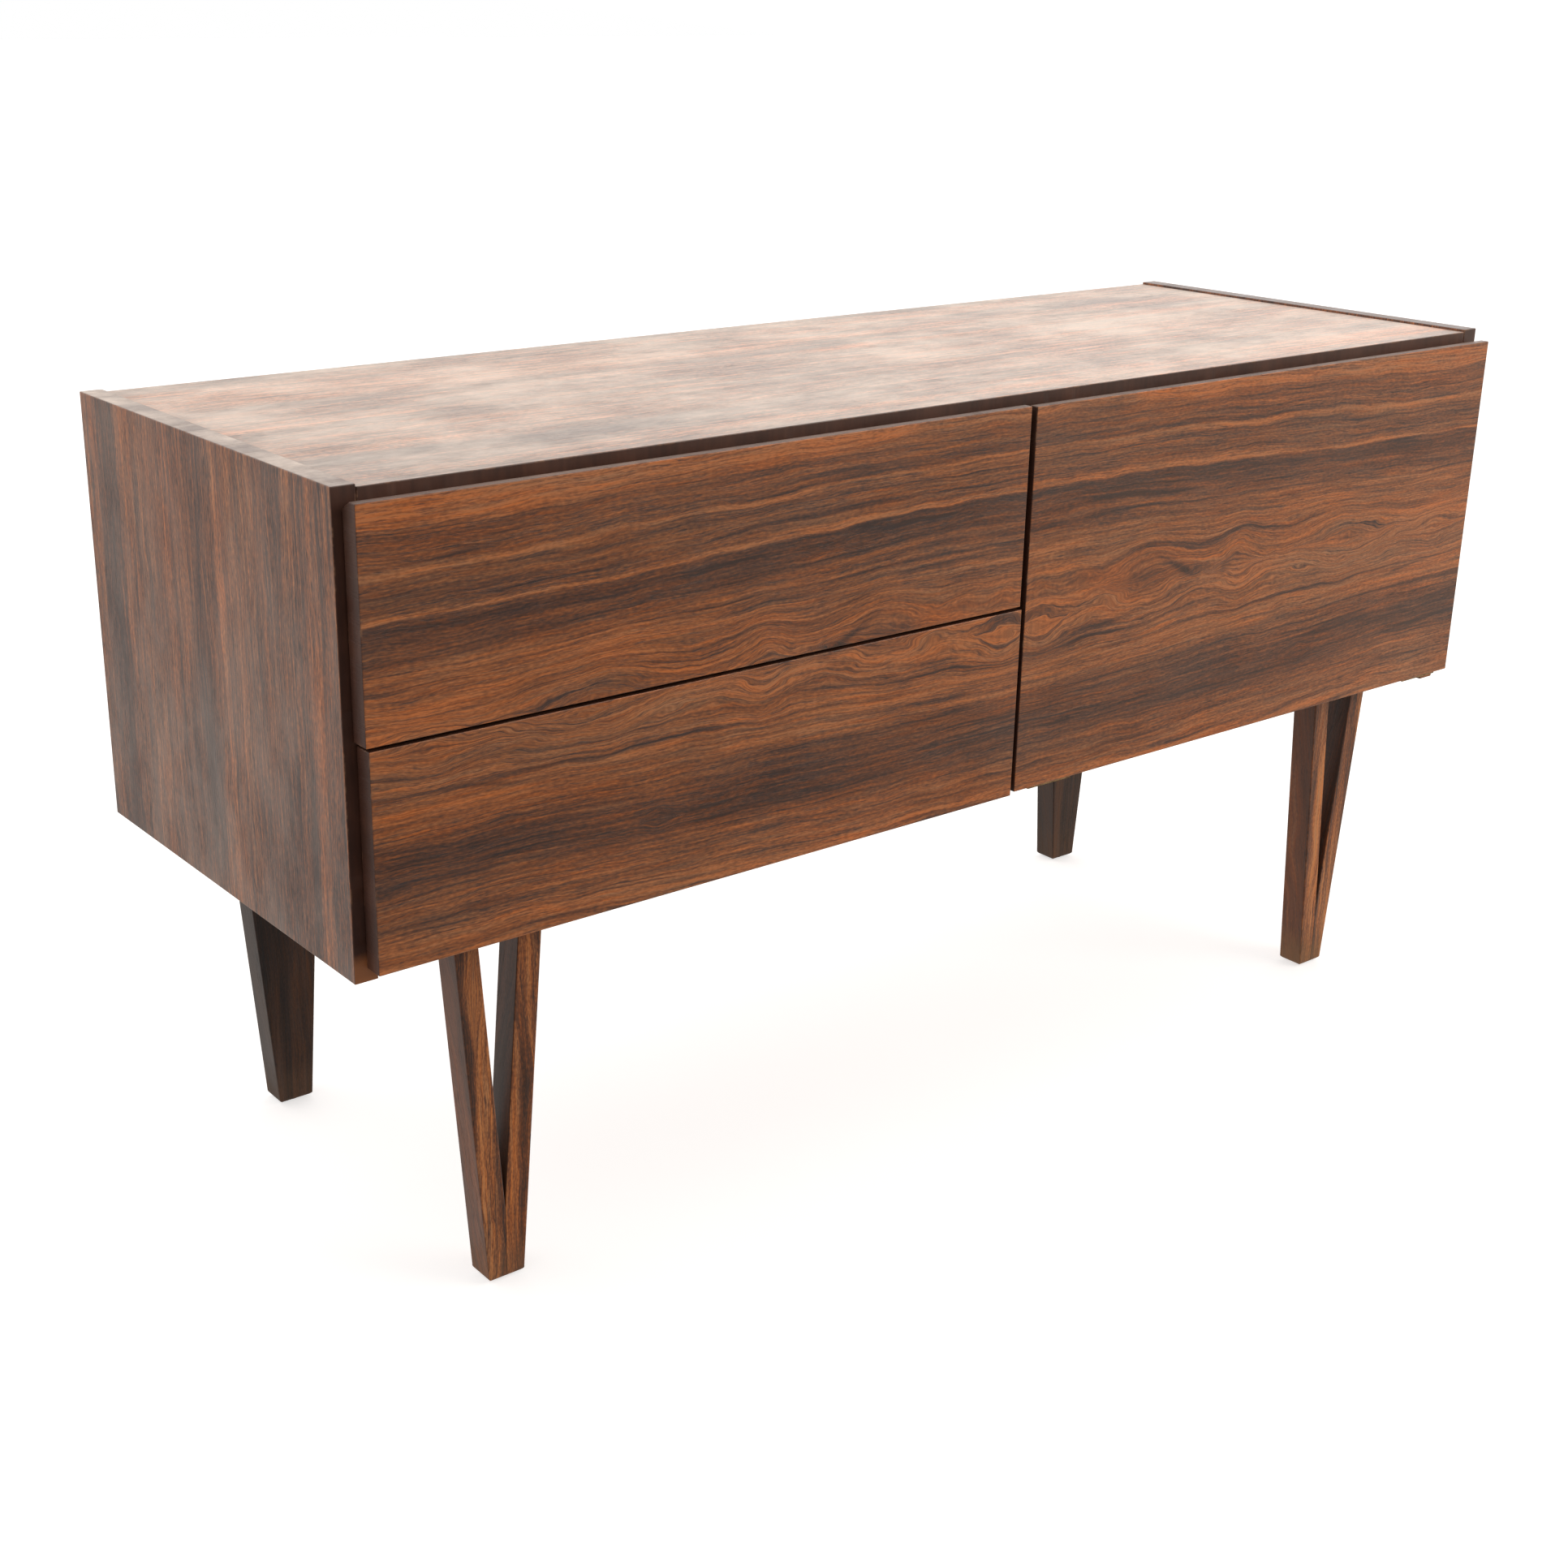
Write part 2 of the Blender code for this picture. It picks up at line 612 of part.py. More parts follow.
def rod_mesh():
    """The stay rod along +Y from its eye: eye, rod and end collar."""
    open_chord = 2 * STAY_RADIUS * math.sin((STAY_OPEN_ANGLE - STAY_FLAP_ANGLE + STAY_CASE_ANGLE) / 2)
    rod_end = open_chord + BLOCK_LENGTH / 2 + CLEARANCE + ROD_COLLAR_LENGTH
    rod_start = (STAY_PIN_BORE + ROD_EYE_RADIUS) / 2
    rod = cylinder_mesh(
        ROD_RADIUS, rod_end - rod_start, "Y", (0.0, (rod_start + rod_end) / 2, 0.0)
    )
    eye = cylinder_mesh(ROD_EYE_RADIUS, ROD_EYE_WIDTH, "X")
    collar_y = rod_end - ROD_COLLAR_LENGTH / 2
    collar = cylinder_mesh(ROD_COLLAR_RADIUS, ROD_COLLAR_LENGTH, "Y", (0.0, collar_y, 0.0))
    bore = cylinder_mesh(STAY_PIN_BORE, 2 * ROD_EYE_WIDTH, "X")
    return combine(rod, [("UNION", eye), ("UNION", collar), ("DIFFERENCE", bore)])


def bracket_mesh(standoff):
    """The stay's bracket on the flap about its pivot: a plate with two bored ears."""
    plate_y = -standoff + CLEARANCE + BRACKET_PLATE[1] / 2
    plate = box_mesh(BRACKET_PLATE, (0.0, plate_y, 0.0))
    steps = []
    ear_height = 2 * BRACKET_EAR_RADIUS
    ear_x = (BRACKET_EAR_GAP + BRACKET_EAR_WIDTH) / 2
    for side in (-1, 1):
        stem = box_mesh(
            (BRACKET_EAR_WIDTH, -plate_y, ear_height), (side * ear_x, plate_y / 2, 0.0)
        )
        tip = cylinder_mesh(BRACKET_EAR_RADIUS, BRACKET_EAR_WIDTH, "X", (side * ear_x, 0.0, 0.0))
        steps += [("UNION", stem), ("UNION", tip)]
    bore = cylinder_mesh(STAY_PIN_BORE, 2 * BRACKET_PLATE[0], "X")
    return combine(plate, steps + [("DIFFERENCE", bore)])


def block_mesh():
    """The swivelling block about the rod's axis: rod bore along Y, axle bore from +X."""
    size = (BLOCK_WIDTH, BLOCK_LENGTH, BLOCK_HEIGHT)
    centre_x = block_centre_x()
    body = box_mesh(size, (centre_x, 0.0, 0.0))
    round_edges(body, HIDDEN_EDGE_ROUND, 1)
    rod_bore = cylinder_mesh(BLOCK_ROD_BORE, 2 * BLOCK_LENGTH, "Y")
    face_x = centre_x + BLOCK_WIDTH / 2
    axle_bore = cylinder_mesh(BLOCK_AXLE_BORE, 2 * BLOCK_AXLE_DEPTH, "X", (face_x, 0.0, 0.0))
    return combine(body, [("DIFFERENCE", rod_bore), ("DIFFERENCE", axle_bore)])


def block_centre_x():
    """How far the block's middle lies from the rod towards the case side."""
    return BLOCK_WIDTH / 2 - BLOCK_ROD_BORE - BLOCK_AXLE_DEPTH / 2


def build_stay(flap_axis):
    """Rod, bracket and pin on the flap; swivelling block and axle plate on the case side."""
    flap_y, flap_z = stay_point(STAY_FLAP_ANGLE)
    case_y, case_z = stay_point(STAY_CASE_ANGLE)
    pivot = (ROD_X, flap_y, flap_z)
    swivel = (ROD_X, case_y, case_z)
    add_object("stay_rod", rod_mesh(), pivot, "brass", angle_x=STAY_REST_ANGLE, smooth=True)
    bracket = bracket_mesh(flap_y - FRONT_INNER)
    add_object("stay_bracket", bracket, pivot, "brass", flap_axis, smooth=True)
    pin_length = BRACKET_EAR_GAP + 2 * BRACKET_EAR_WIDTH + 2 * HINGE_PIN_OVERHANG
    pin = cylinder_mesh(STAY_PIN_RADIUS, pin_length, "X")
    add_object("stay_pin", pin, pivot, "brass", flap_axis, smooth=True)
    add_object("stay_block", block_mesh(), swivel, "brass", angle_x=STAY_REST_ANGLE, smooth=True)
    face_x = block_centre_x() + BLOCK_WIDTH / 2
    plate_x = ROD_SIDE_DISTANCE - CLEARANCE - AXLE_PLATE_THICKNESS / 2
    axle_start = face_x - AXLE_ENTRY
    axle_length = plate_x - axle_start
    plate = cylinder_mesh(AXLE_PLATE_RADIUS, AXLE_PLATE_THICKNESS, "X", (plate_x, 0.0, 0.0))
    axle = cylinder_mesh(AXLE_RADIUS, axle_length, "X", (axle_start + axle_length / 2, 0.0, 0.0))
    axle_plate = combine(plate, [("UNION", axle)])
    add_object("stay_axle_plate", axle_plate, swivel, "brass", smooth=True)


def main():
    clear_scene()
    build_case()
    build_back_screws()
    build_legs()
    build_drawers()
    flap_axis = build_flap()
    build_catch(flap_axis)
    build_stay(flap_axis)


main()
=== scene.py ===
"""The looks of the rosewood television cabinet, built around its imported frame.

Metres, +Z up, the fronts face -Y, as in the frame.
"""

import math

import bmesh
import bpy
from mathutils import Euler, Matrix, Vector


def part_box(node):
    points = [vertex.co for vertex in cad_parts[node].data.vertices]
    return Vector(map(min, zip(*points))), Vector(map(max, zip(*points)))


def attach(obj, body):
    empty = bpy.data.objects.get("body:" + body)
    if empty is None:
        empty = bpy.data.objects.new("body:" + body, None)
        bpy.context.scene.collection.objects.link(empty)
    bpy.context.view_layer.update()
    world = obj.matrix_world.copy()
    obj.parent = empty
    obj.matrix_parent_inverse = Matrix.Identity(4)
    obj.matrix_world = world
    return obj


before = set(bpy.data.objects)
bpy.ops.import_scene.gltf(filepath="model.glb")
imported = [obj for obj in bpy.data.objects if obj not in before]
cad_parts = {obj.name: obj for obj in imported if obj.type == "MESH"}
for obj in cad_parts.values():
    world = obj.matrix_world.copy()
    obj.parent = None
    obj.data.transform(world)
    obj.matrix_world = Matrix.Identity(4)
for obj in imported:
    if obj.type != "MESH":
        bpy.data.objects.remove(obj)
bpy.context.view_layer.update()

# Camera
CAMERA_PLACE = (-1.2178, -1.3910, 0.9272)
CAMERA_HEADING = math.radians(37.787)
CAMERA_TILT = math.radians(20.177)
CAMERA_ROLL = math.radians(0.745)
CAMERA_LENS = 49.84
CAMERA_SHIFT = (0.0386, -0.0046)

# The room: brightness below and above the horizon, in front and added behind
ROOM_FLOOR = (0.20, 0.40)
ROOM_WALL = (0.45, 1.05)
ROOM_COLOUR = (1.0, 0.95, 0.91)
# Where it changes from front to back, at the horizon and on the right, by direction
ROOM_BEHIND = (-0.9, 0.9)
ROOM_HORIZON = (-0.08, 0.08)
ROOM_RIGHTWARD = (0.45, 0.95)
# More light from the right, whiter behind than in front
ROOM_RIGHT = 0.50
ROOM_RIGHT_FRONT_COLOUR = (1.0, 0.88, 0.76)
ROOM_RIGHT_BACK_COLOUR = (1.0, 0.99, 1.0)
# A soft light from high in front, on the right
LIGHT_PLACE = (1.6, -2.1, 1.6)
LIGHT_TARGET = (0.3, -0.1, 0.4)
LIGHT_SIZE = (1.6, 1.2)
LIGHT_POWER = 24.0
LIGHT_COLOUR = (1.0, 0.93, 0.84)
# The floor: half size, greys of its mottle and how bright it is to the camera
FLOOR_SIZE = 30.0
FLOOR_GREYS = ((0.62, 0.62, 0.62), (0.64, 0.64, 0.64))
FLOOR_GLOW = 0.62

# How thick the film of haze and dust lies, 0 to 1: on the fronts and on their upper edges,
# on the case's upper edges, on its other edges and on the legs
FRONT_HAZE = 0.27
FRONT_TOP_HAZE = 0.17
TOP_HAZE = 0.90
EDGE_HAZE = 0.1
LEG_HAZE = 0.06
# It is cloudy: how much on the fronts, and how fast the clouds vary along X, Y and Z
FRONT_CLOUD = 1.15
FRONT_CLOUD_RATES = (7.0, 9.0, 12.0)
# On a case board, how fast they vary along the grain and across it
BOARD_CLOUD_RATES = (8.0, 14.0)
# The clouds' share of the noise, and how thick the film is halfway
CLOUD_SPAN = (-0.20, 0.24)
CLOUD_MIDDLE = 0.975
# Colour of the dull film on the fronts and the legs and of the dust on the case
FRONT_DUST = (0.95, 0.73, 0.57)
BOARD_DUST = (0.90, 0.80, 0.72)
LEG_DUST = (0.92, 0.76, 0.58)
# Top edges above this height are dusty; the ones inside the gaps are not
DUSTY_HEIGHT = 0.55
# Bare wood on worn arrises, this far from the edge, and on worn feet, up to this height
WORN_EDGE_COLOUR = (0.30, 0.155, 0.085)
WORN_EDGE_REACH = (0.0004, 0.0016)
WORN_EDGE_STRENGTH = 0.55
WORN_FOOT_COLOUR = (0.30, 0.165, 0.075)
WORN_FOOT_HEIGHT = (0.006, 0.045)

# How squarely a skin has to face a way, to count as facing it
FACING = (0.60, 0.75)

# Wood colours, from the palest streak to the darkest
ROSEWOOD = (
    (0.00, (0.560, 0.195, 0.065)),
    (0.25, (0.370, 0.124, 0.040)),
    (0.50, (0.215, 0.074, 0.029)),
    (0.75, (0.112, 0.042, 0.023)),
    (1.00, (0.046, 0.022, 0.017)),
)
ROSEWOOD_LEG = (
    (0.00, (0.640, 0.250, 0.085)),
    (0.30, (0.430, 0.155, 0.053)),
    (0.60, (0.200, 0.070, 0.030)),
    (1.00, (0.058, 0.028, 0.019)),
)
# Multiplied with the wood: some streaks greyer, some redder
WOOD_TINTS = (
    (0.20, (0.80, 1.02, 1.36)),
    (0.50, (1.00, 1.00, 0.97)),
    (0.80, (1.22, 0.96, 0.56)),
)
# The back legs, darker with painted shade from the case above them, and the edges of the boards
ROSEWOOD_SHADED = (
    (0.00, (0.120, 0.055, 0.030)),
    (0.50, (0.060, 0.030, 0.020)),
    (1.00, (0.022, 0.014, 0.012)),
)
ROSEWOOD_EDGE = (
    (0.00, (0.122, 0.048, 0.027)),
    (0.50, (0.068, 0.027, 0.017)),
    (1.00, (0.028, 0.014, 0.010)),
)
# Painted light: the case's front edges are browner at their low ends, below the fronts' shadow,
# between these heights
PAINTED_LIGHT_EDGE_HEIGHTS = (0.298, 0.310)
PAINTED_LIGHT_EDGE_COLOUR = (0.400, 0.150, 0.055)
PAINTED_LIGHT_EDGE_STRENGTH = 0.95
BEECH = (
    (0.00, (0.640, 0.430, 0.250)),
    (0.50, (0.540, 0.345, 0.185)),
    (1.00, (0.380, 0.225, 0.115)),
)
PLYWOOD = (
    (0.00, (0.560, 0.390, 0.230)),
    (0.50, (0.440, 0.290, 0.160)),
    (1.00, (0.300, 0.180, 0.095)),
)
# Metals: bright and dull colour, roughness; plastic: colour and scuffed colour
BRASS = ((0.46, 0.31, 0.15), (0.20, 0.12, 0.065), 0.36)
STEEL = ((0.60, 0.60, 0.58), (0.30, 0.29, 0.28), 0.30)
BLACK_PLASTIC = ((0.040, 0.036, 0.034), (0.11, 0.10, 0.095))

# The grain's wander: rates per metre along and across it, how far it bends, detail, seed
WANDER = (
    ((1.7, 5.0), 0.018, 1.0, 0.0),
    ((7.0, 24.0), 0.012, 2.0, 3.0),
    ((20.0, 45.0), 0.0060, 1.0, 5.0),
)
# Streaks, lines, hairs and grit: rates along and across the grain, detail, roughness
STREAKS = (
    ((3.0, 90.0), 3.0, 0.65),
    ((7.0, 250.0), 2.0, 0.6),
    ((26.0, 640.0), 2.0, 0.7),
    ((220.0, 700.0), 1.0, 0.5),
)
GRIT_WEIGHT = 0.8
# Bands of the plain veneer, of the legs and of the pale woods: rates along and across
BOARD_BANDS = (0.6, 22.0)
LEG_BANDS = (2.6, 60.0)
PALE_BANDS = (0.8, 28.0)
# Ink lines and where they show, tints fine and wide, pores and where they crowd, flecks of
# the pale woods: rates along and across
INK_RATES = ((1.2, 75.0), (9.0, 40.0))
INK_WIDTH = 0.036
TINT_RATES = ((16.0, 300.0), (4.0, 22.0))
TINT_WEIGHTS = (1.3, 0.7)
PORE_RATES = ((60.0, 900.0), (5.0, 60.0))
PORE_SPAN = (0.10, 0.20)
FLECK_RATES = (90.0, 520.0)
FLECK_SPAN = (0.12, 0.22)
# How dark the wood is, and how much the parts of the grain add: on the fronts streaks,
# fine lines, pores and ink; on a board bands, streaks and fine lines by contrast, then
# pores and ink; on a leg bands, streaks, fine lines and pores; on pale wood the same with
# flecks for pores
FRONT_DARKNESS = -0.055
FRONT_WEIGHTS = (0.62, 0.90, 0.25, 0.40)
BOARD_CONTRASTS = (1.9, 1.3, 1.9)
BOARD_WEIGHTS = (0.35, 0.25)
LEG_DARKNESS = 0.44
LEG_WEIGHTS = (2.4, 1.2, 1.0, 0.35)
PALE_DARKNESS = 0.45
PALE_WEIGHTS = (0.9, 0.5, 0.35, 0.25)
# Roughness of the woods, and what adds to it: on veneer dust, pores, wear and fine lines;
# on a leg wear, pores and fine lines
VENEER_ROUGHNESS = 0.36
VENEER_DULLING = (0.10, 0.15, 0.20, 0.08)
LEG_ROUGHNESS = 0.38
LEG_DULLING = (0.25, 0.1, 0.1)
PALE_ROUGHNESS = 0.58
# How deep the grain is to the touch, in metres
PORE_DEPTH = 0.00006
PALE_DEPTH = 0.00008

# The fronts' veneer, from the lower edge up: height and how dark the band is
FRONT_BANDS = (
    (0.297, 0.30),
    (0.303, 0.26),
    (0.308, 0.40),
    (0.334, 0.50),
    (0.339, 0.72),
    (0.352, 0.76),
    (0.366, 0.68),
    (0.382, 0.54),
    (0.396, 0.34),
    (0.408, 0.30),
    (0.413, 0.50),
    (0.417, 0.26),
    (0.432, 0.42),
    (0.440, 0.30),
    (0.456, 0.20),
    (0.468, 0.38),
    (0.476, 0.30),
    (0.484, 0.38),
    (0.489, 0.28),
    (0.495, 0.46),
    (0.499, 0.28),
    (0.512, 0.42),
    (0.528, 0.62),
    (0.546, 0.84),
    (0.549, 0.80),
    (0.5505, 0.12),
    (0.556, 0.50),
    (0.577, 0.56),
    (0.582, 0.16),
    (0.587, 0.54),
    (0.607, 0.52),
    (0.614, 0.20),
)
# How far the bands draw together towards the outer ends, and from where to where
FRONT_BAND_DROP = 0.012
FRONT_BAND_SPAN = (0.10, 0.52)
# The figure's middle height, and how far from it the bands have turned from one way to
# the other
FIGURE_HEIGHT = 0.452
FIGURE_REACH = 0.06
# The belt of curly grain: half height, how far it curls, and rates along and across
FIGURE_BELT = (0.030, 0.023)
CURL_RATES = (19.0, 44.0)
# How far the curls move the dark spots
SPOT_RAGGEDNESS = 0.008
# Eyes in the fronts' grain: distance from the middle seam, height, half lengths, and how
# far the rings inside climb
FRONT_EYES = (
    (0.022, 0.452, 0.020, 0.008, 0.010),
    (0.152, 0.461, 0.040, 0.012, 0.015),
    (0.262, 0.455, 0.026, 0.013, -0.016),
    (0.415, 0.459, 0.058, 0.013, 0.016),
    (0.548, 0.449, 0.045, 0.008, 0.011),
    (0.360, 0.352, 0.012, 0.004, 0.006),
)
# Dark spots beside the eyes: distance from the seam, height, half lengths, slant and depth
FRONT_SPOTS = (
    (0.182, 0.465, 0.020, 0.0032, -0.50, 0.50),
    (0.208, 0.458, 0.022, 0.0040, 0.00, 0.45),
    (0.148, 0.462, 0.032, 0.0085, 0.00, 0.28),
    (0.245, 0.455, 0.008, 0.0050, 0.30, 0.32),
    (0.100, 0.429, 0.034, 0.0022, 0.06, 0.42),
    (0.155, 0.437, 0.022, 0.0020, 0.15, 0.34),
    (0.192, 0.446, 0.020, 0.0028, 0.20, 0.38),
    (0.500, 0.415, 0.030, 0.0016, 0.12, 0.38),
    (0.262, 0.459, 0.022, 0.0080, 0.00, 0.22),
    (0.415, 0.460, 0.040, 0.0060, 0.00, 0.22),
    (0.548, 0.450, 0.030, 0.0050, 0.00, 0.16),
)
# The thin dark outline round an eye: half width and depth
EYE_RIM = (0.0010, 0.34)
# Dark lines that follow the grain: level, half thickness, place, half length and depth
FRONT_LINES = (
    (0.4135, 0.0009, 0.420, 0.130, 0.50),
    (0.4300, 0.0012, 0.095, 0.035, 0.50),
    (0.4370, 0.0009, 0.150, 0.035, 0.35),
    (0.4440, 0.0011, 0.190, 0.030, 0.45),
    (0.4860, 0.0009, 0.300, 0.160, 0.30),
    (0.4780, 0.0008, 0.430, 0.120, 0.30),
    (0.5850, 0.0009, 0.240, 0.060, 0.45),
)
# Near the seam and under the figure the grain droops: place, height, half lengths
SEAM_DROOP = (0.0, 0.422, 0.150, 0.030)
SEAM_DROOP_DEPTH = 0.014
# The left and the right half of the fronts differ a little in their fine grain
SEAM_SEED = 0.13

# Case boards: the way they face, the axes along and across their grain, seed, darkness,
# contrast, haze, how cloudy it is, haze on the upper edge, and whether figured
CASE_BOARDS = {
    "side_panel_left": ("X", "Z", "Y", 11.0, 0.58, 0.60, 0.42, 1.50, TOP_HAZE, True),
    "side_panel_right": ("X", "Z", "Y", 19.0, 0.58, 0.60, 0.42, 1.50, 0.12, True),
    "top_panel": ("Z", "X", "Y", 4.0, 0.58, 1.00, TOP_HAZE, 1.15, TOP_HAZE, False),
    "bottom_panel": ("Z", "X", "Y", 6.0, 0.42, 1.00, 0.15, 1.15, TOP_HAZE, False),
    "centre_divider": ("X", "Z", "Y", 8.0, 0.42, 1.00, 0.10, 1.15, TOP_HAZE, False),
}
# On the side panels: an eye and dark stretches, as height, depth place, half lengths, and
# how far the rings climb or how dark the stretch is
SIDE_EYE = (0.470, 0.010, 0.030, 0.006, 0.022)
SIDE_EYE_RIM = 0.25
SIDE_SHADES = (
    (0.385, 0.012, 0.055, 0.014, 0.34),
    (0.450, -0.145, 0.500, 0.010, 0.30),
    (0.450, 0.160, 0.500, 0.014, 0.20),
)
# They are darker and hazier at the bottom than at the top, between these heights
SIDE_HEIGHTS = (0.30, 0.62)
SIDE_DARKER = (0.06, -0.06)
SIDE_HAZIER = (1.25, 0.85)

# An eye in the left V leg's outer arm, as for the fronts, across from the leg's middle
LEG_EYE = (0.243, -0.146, 0.026, 0.0045, 0.014)
# The V legs' notch, where its painted shade lies: height of its apex, how fast each side opens,
# and how sharp its edge is
NOTCH_APEX = 0.0655
NOTCH_SLOPE = 0.077
NOTCH_EDGE = (0.003, 0.005)
# The legs' sides are calmer than their fronts and darkened with painted shade, and the faces
# deep in the V carry more painted shade
LEG_SIDE_CALM_AND_SHADE = 0.65
LEG_SIDE_PAINTED_SHADE_TONE = 0.76
LEG_SIDE_SHADE = 0.06
NOTCH_SHADE = 0.16
# The grain's slope through the leg, how much it wanders, and how fine its streaks are
LEG_GRAIN_SLOPE = 0.7
LEG_WANDER = 0.9
LEG_STREAK_RATE = 1.3
# How much the feet are worn
LEG_WEAR = {"left": 0.2, "right": 0.5}
BACK_LEG_WEAR = 0.1

DRAWERS = ("upper_drawer", "lower_drawer")
# Plates under screw heads: their thickness, and how far in the screws sit on the leaves
LEAF_THICKNESS = 0.0015
LEAF_INSET = 0.009
FLAP_LEAF_THICKNESS = 0.0012
FLAP_LEAF_INSET = 0.0042
AXLE_PLATE_THICKNESS = 0.0020
BRACKET_THICKNESS = 0.0020
# Where the screws sit, as parts of the plate's or board's half size
LEAF_SCREWS = (-0.72, 0.0, 0.72)
PAIR_SCREWS = (-0.72, 0.72)
LEG_PLATE_SCREWS = (-0.75, 0.0, 0.75)
AXLE_PLATE_SCREWS = (-0.66, 0.66)
BRACKET_SCREWS = (-0.68, 0.68)
DRAWER_SCREWS = (-0.80, -0.28, 0.28, 0.80)
# A screw head, and the rings of its disc and its domed halves as parts of its size
HEAD_RADIUS = 0.0034
HEAD_HEIGHT = 0.0006
HEAD_SLOT = 0.0009
HEAD_DISC = ((0.0, 1.0), (0.25, 1.0))
HEAD_DOME = ((0.2, 0.995), (0.6, 0.97), (1.0, 0.80))
HEAD_ARC_STEPS = 12
# How far the slot of each screw is turned from the last one's, in radians
HEAD_TURN = 0.9
# The catch's pole pieces: length, height and width, and the steps between them
POLE_SIZE = (0.014, 0.0005, 0.0028)
POLE_STEP = (0.020, 0.0052)
POLE_RINGS = ((0.0, 1.0), (0.7, 1.0), (1.0, 0.94))


class Graph:
    """The nodes of one material or world, written as expressions."""

    def __init__(self, owner, shader, places):
        owner.use_nodes = True
        self.owner = owner
        self.nodes = owner.node_tree.nodes
        self.links = owner.node_tree.links
        self.shader = self.nodes[shader]
        self.places = self.nodes.new("ShaderNodeTexCoord")
        parts = self.nodes.new("ShaderNodeSeparateXYZ")
        self.links.new(self.places.outputs[places], parts.inputs[0])
        self.x, self.y, self.z = parts.outputs
        self.axes = {"X": self.x, "Y": self.y, "Z": self.z}

    def feed(self, socket, value):
        if isinstance(value, bpy.types.NodeSocket):
            self.links.new(value, socket)
        else:
            socket.default_value = value

    def math(self, operation, *values):
        node = self.nodes.new("ShaderNodeMath")
        node.operation = operation
        for socket, value in zip(node.inputs, values):
            self.feed(socket, value)
        return node.outputs[0]

    def add(self, *values):
        total = values[0]
        for value in values[1:]:
            total = self.math("ADD", total, value)
        return total

    def times(self, *values):
        product = values[0]
        for value in values[1:]:
            product = self.math("MULTIPLY", product, value)
        return product

    def scaled(self, parts, weights):
        return [self.times(part, weight) for part, weight in zip(parts, weights)]

    def vector(self, x, y, z):
        node = self.nodes.new("ShaderNodeCombineXYZ")
        for socket, value in zip(node.inputs, (x, y, z)):
            self.feed(socket, value)
        return node.outputs[0]

    def noise(self, x, y, z, detail=2.0, roughness=0.5):
        """Noise about zero; x, y and z are places times a rate per metre."""
        node = self.nodes.new("ShaderNodeTexNoise")
        self.feed(node.inputs["Vector"], self.vector(x, y, z))
        node.inputs["Scale"].default_value = 1.0
        node.inputs["Detail"].default_value = detail
        node.inputs["Roughness"].default_value = roughness
        return self.math("SUBTRACT", node.outputs[0], 0.5)

    def grained(self, along, across, rates, seed, detail=2.0, roughness=0.5):
        """Noise drawn out along the grain; the rates are along and across it."""
        along, across = self.scaled((along, across), rates)
        return self.noise(along, across, seed, detail, roughness)

    def mottle(self, rates, detail=2.0, roughness=0.5):
        """Noise through space; the rates are along X, Y and Z."""
        return self.noise(*self.scaled((self.x, self.y, self.z), rates), detail, roughness)

    def span(self, value, low, high, first=0.0, last=1.0):
        """Value taken from low..high to first..last, and held there."""
        node = self.nodes.new("ShaderNodeMapRange")
        node.interpolation_type = "SMOOTHSTEP"
        for socket, item in zip(node.inputs, (value, low, high, first, last)):
            self.feed(socket, item)
        return node.outputs[0]

    def ramp(self, value, stops):
        node = self.nodes.new("ShaderNodeValToRGB")
        elements = node.color_ramp.elements
        while len(elements) < len(stops):
            elements.new(1.0)
        for element, (place, colour) in zip(elements, stops):
            element.position = place
            element.color = (*colour, 1.0)
        self.feed(node.inputs[0], value)
        return node.outputs[0]

    def mix(self, factor, first, second, mode="MIX"):
        node = self.nodes.new("ShaderNodeMix")
        node.data_type = "RGBA"
        node.blend_type = mode
        for index, value in ((0, factor), (6, first), (7, second)):
            if isinstance(value, tuple):
                value = (*value, 1.0)
            self.feed(node.inputs[index], value)
        return node.outputs[2]

    def bump(self, height, distance):
        node = self.nodes.new("ShaderNodeBump")
        node.inputs["Strength"].default_value = 1.0
        node.inputs["Distance"].default_value = distance
        self.feed(node.inputs["Height"], height)
        self.links.new(node.outputs[0], self.shader.inputs["Normal"])

    def finish(self, **inputs):
        for name, value in inputs.items():
            self.feed(self.shader.inputs[name.replace("_", " ")], value)
        return self.owner

    def edge_distance(self, node):
        """How far a point on a board's skin is from the board's nearest edge."""
        low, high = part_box(node)
        depths = []
        for place, a, b in zip((self.x, self.y, self.z), low, high):
            off_centre = self.math("ABSOLUTE", self.math("SUBTRACT", place, (a + b) / 2))
            depths.append(self.math("SUBTRACT", (b - a) / 2, off_centre))
        least = self.math("MINIMUM", self.math("MINIMUM", depths[0], depths[1]), depths[2])
        most = self.math("MAXIMUM", self.math("MAXIMUM", depths[0], depths[1]), depths[2])
        return self.math("SUBTRACT", self.math("SUBTRACT", self.add(*depths), least), most)

    def normal(self, axis):
        parts = self.nodes.new("ShaderNodeSeparateXYZ")
        self.links.new(self.places.outputs["Normal"], parts.inputs[0])
        return parts.outputs["XYZ".index(axis)]

    def facing(self, axis):
        """1 where the skin faces along the axis, 0 on the board's edges."""
        return self.span(self.math("ABSOLUTE", self.normal(axis)), *FACING)


def material_graph(name):
    return Graph(bpy.data.materials.new(name), "Principled BSDF", "Object")


def warped(graph, along, across, seed, strength=1.0):
    """The across-grain place, bent the way the grain wanders."""
    bent = across
    for rates, reach, detail, shift in WANDER:
        bend = graph.grained(along, across, rates, seed + shift, detail)
        bent = graph.add(bent, graph.times(bend, reach * strength))
    return bent


def streaks(graph, along, across, seed, rate=1.0):
    """Light and dark lines along the grain, about zero: broad ones, and fine ones."""
    broad, lines, hairs, grit = (
        graph.grained(along, across, [rate * each for each in rates], seed, *kind)
        for rates, *kind in STREAKS
    )
    return broad, graph.add(lines, hairs, graph.times(grit, GRIT_WEIGHT))


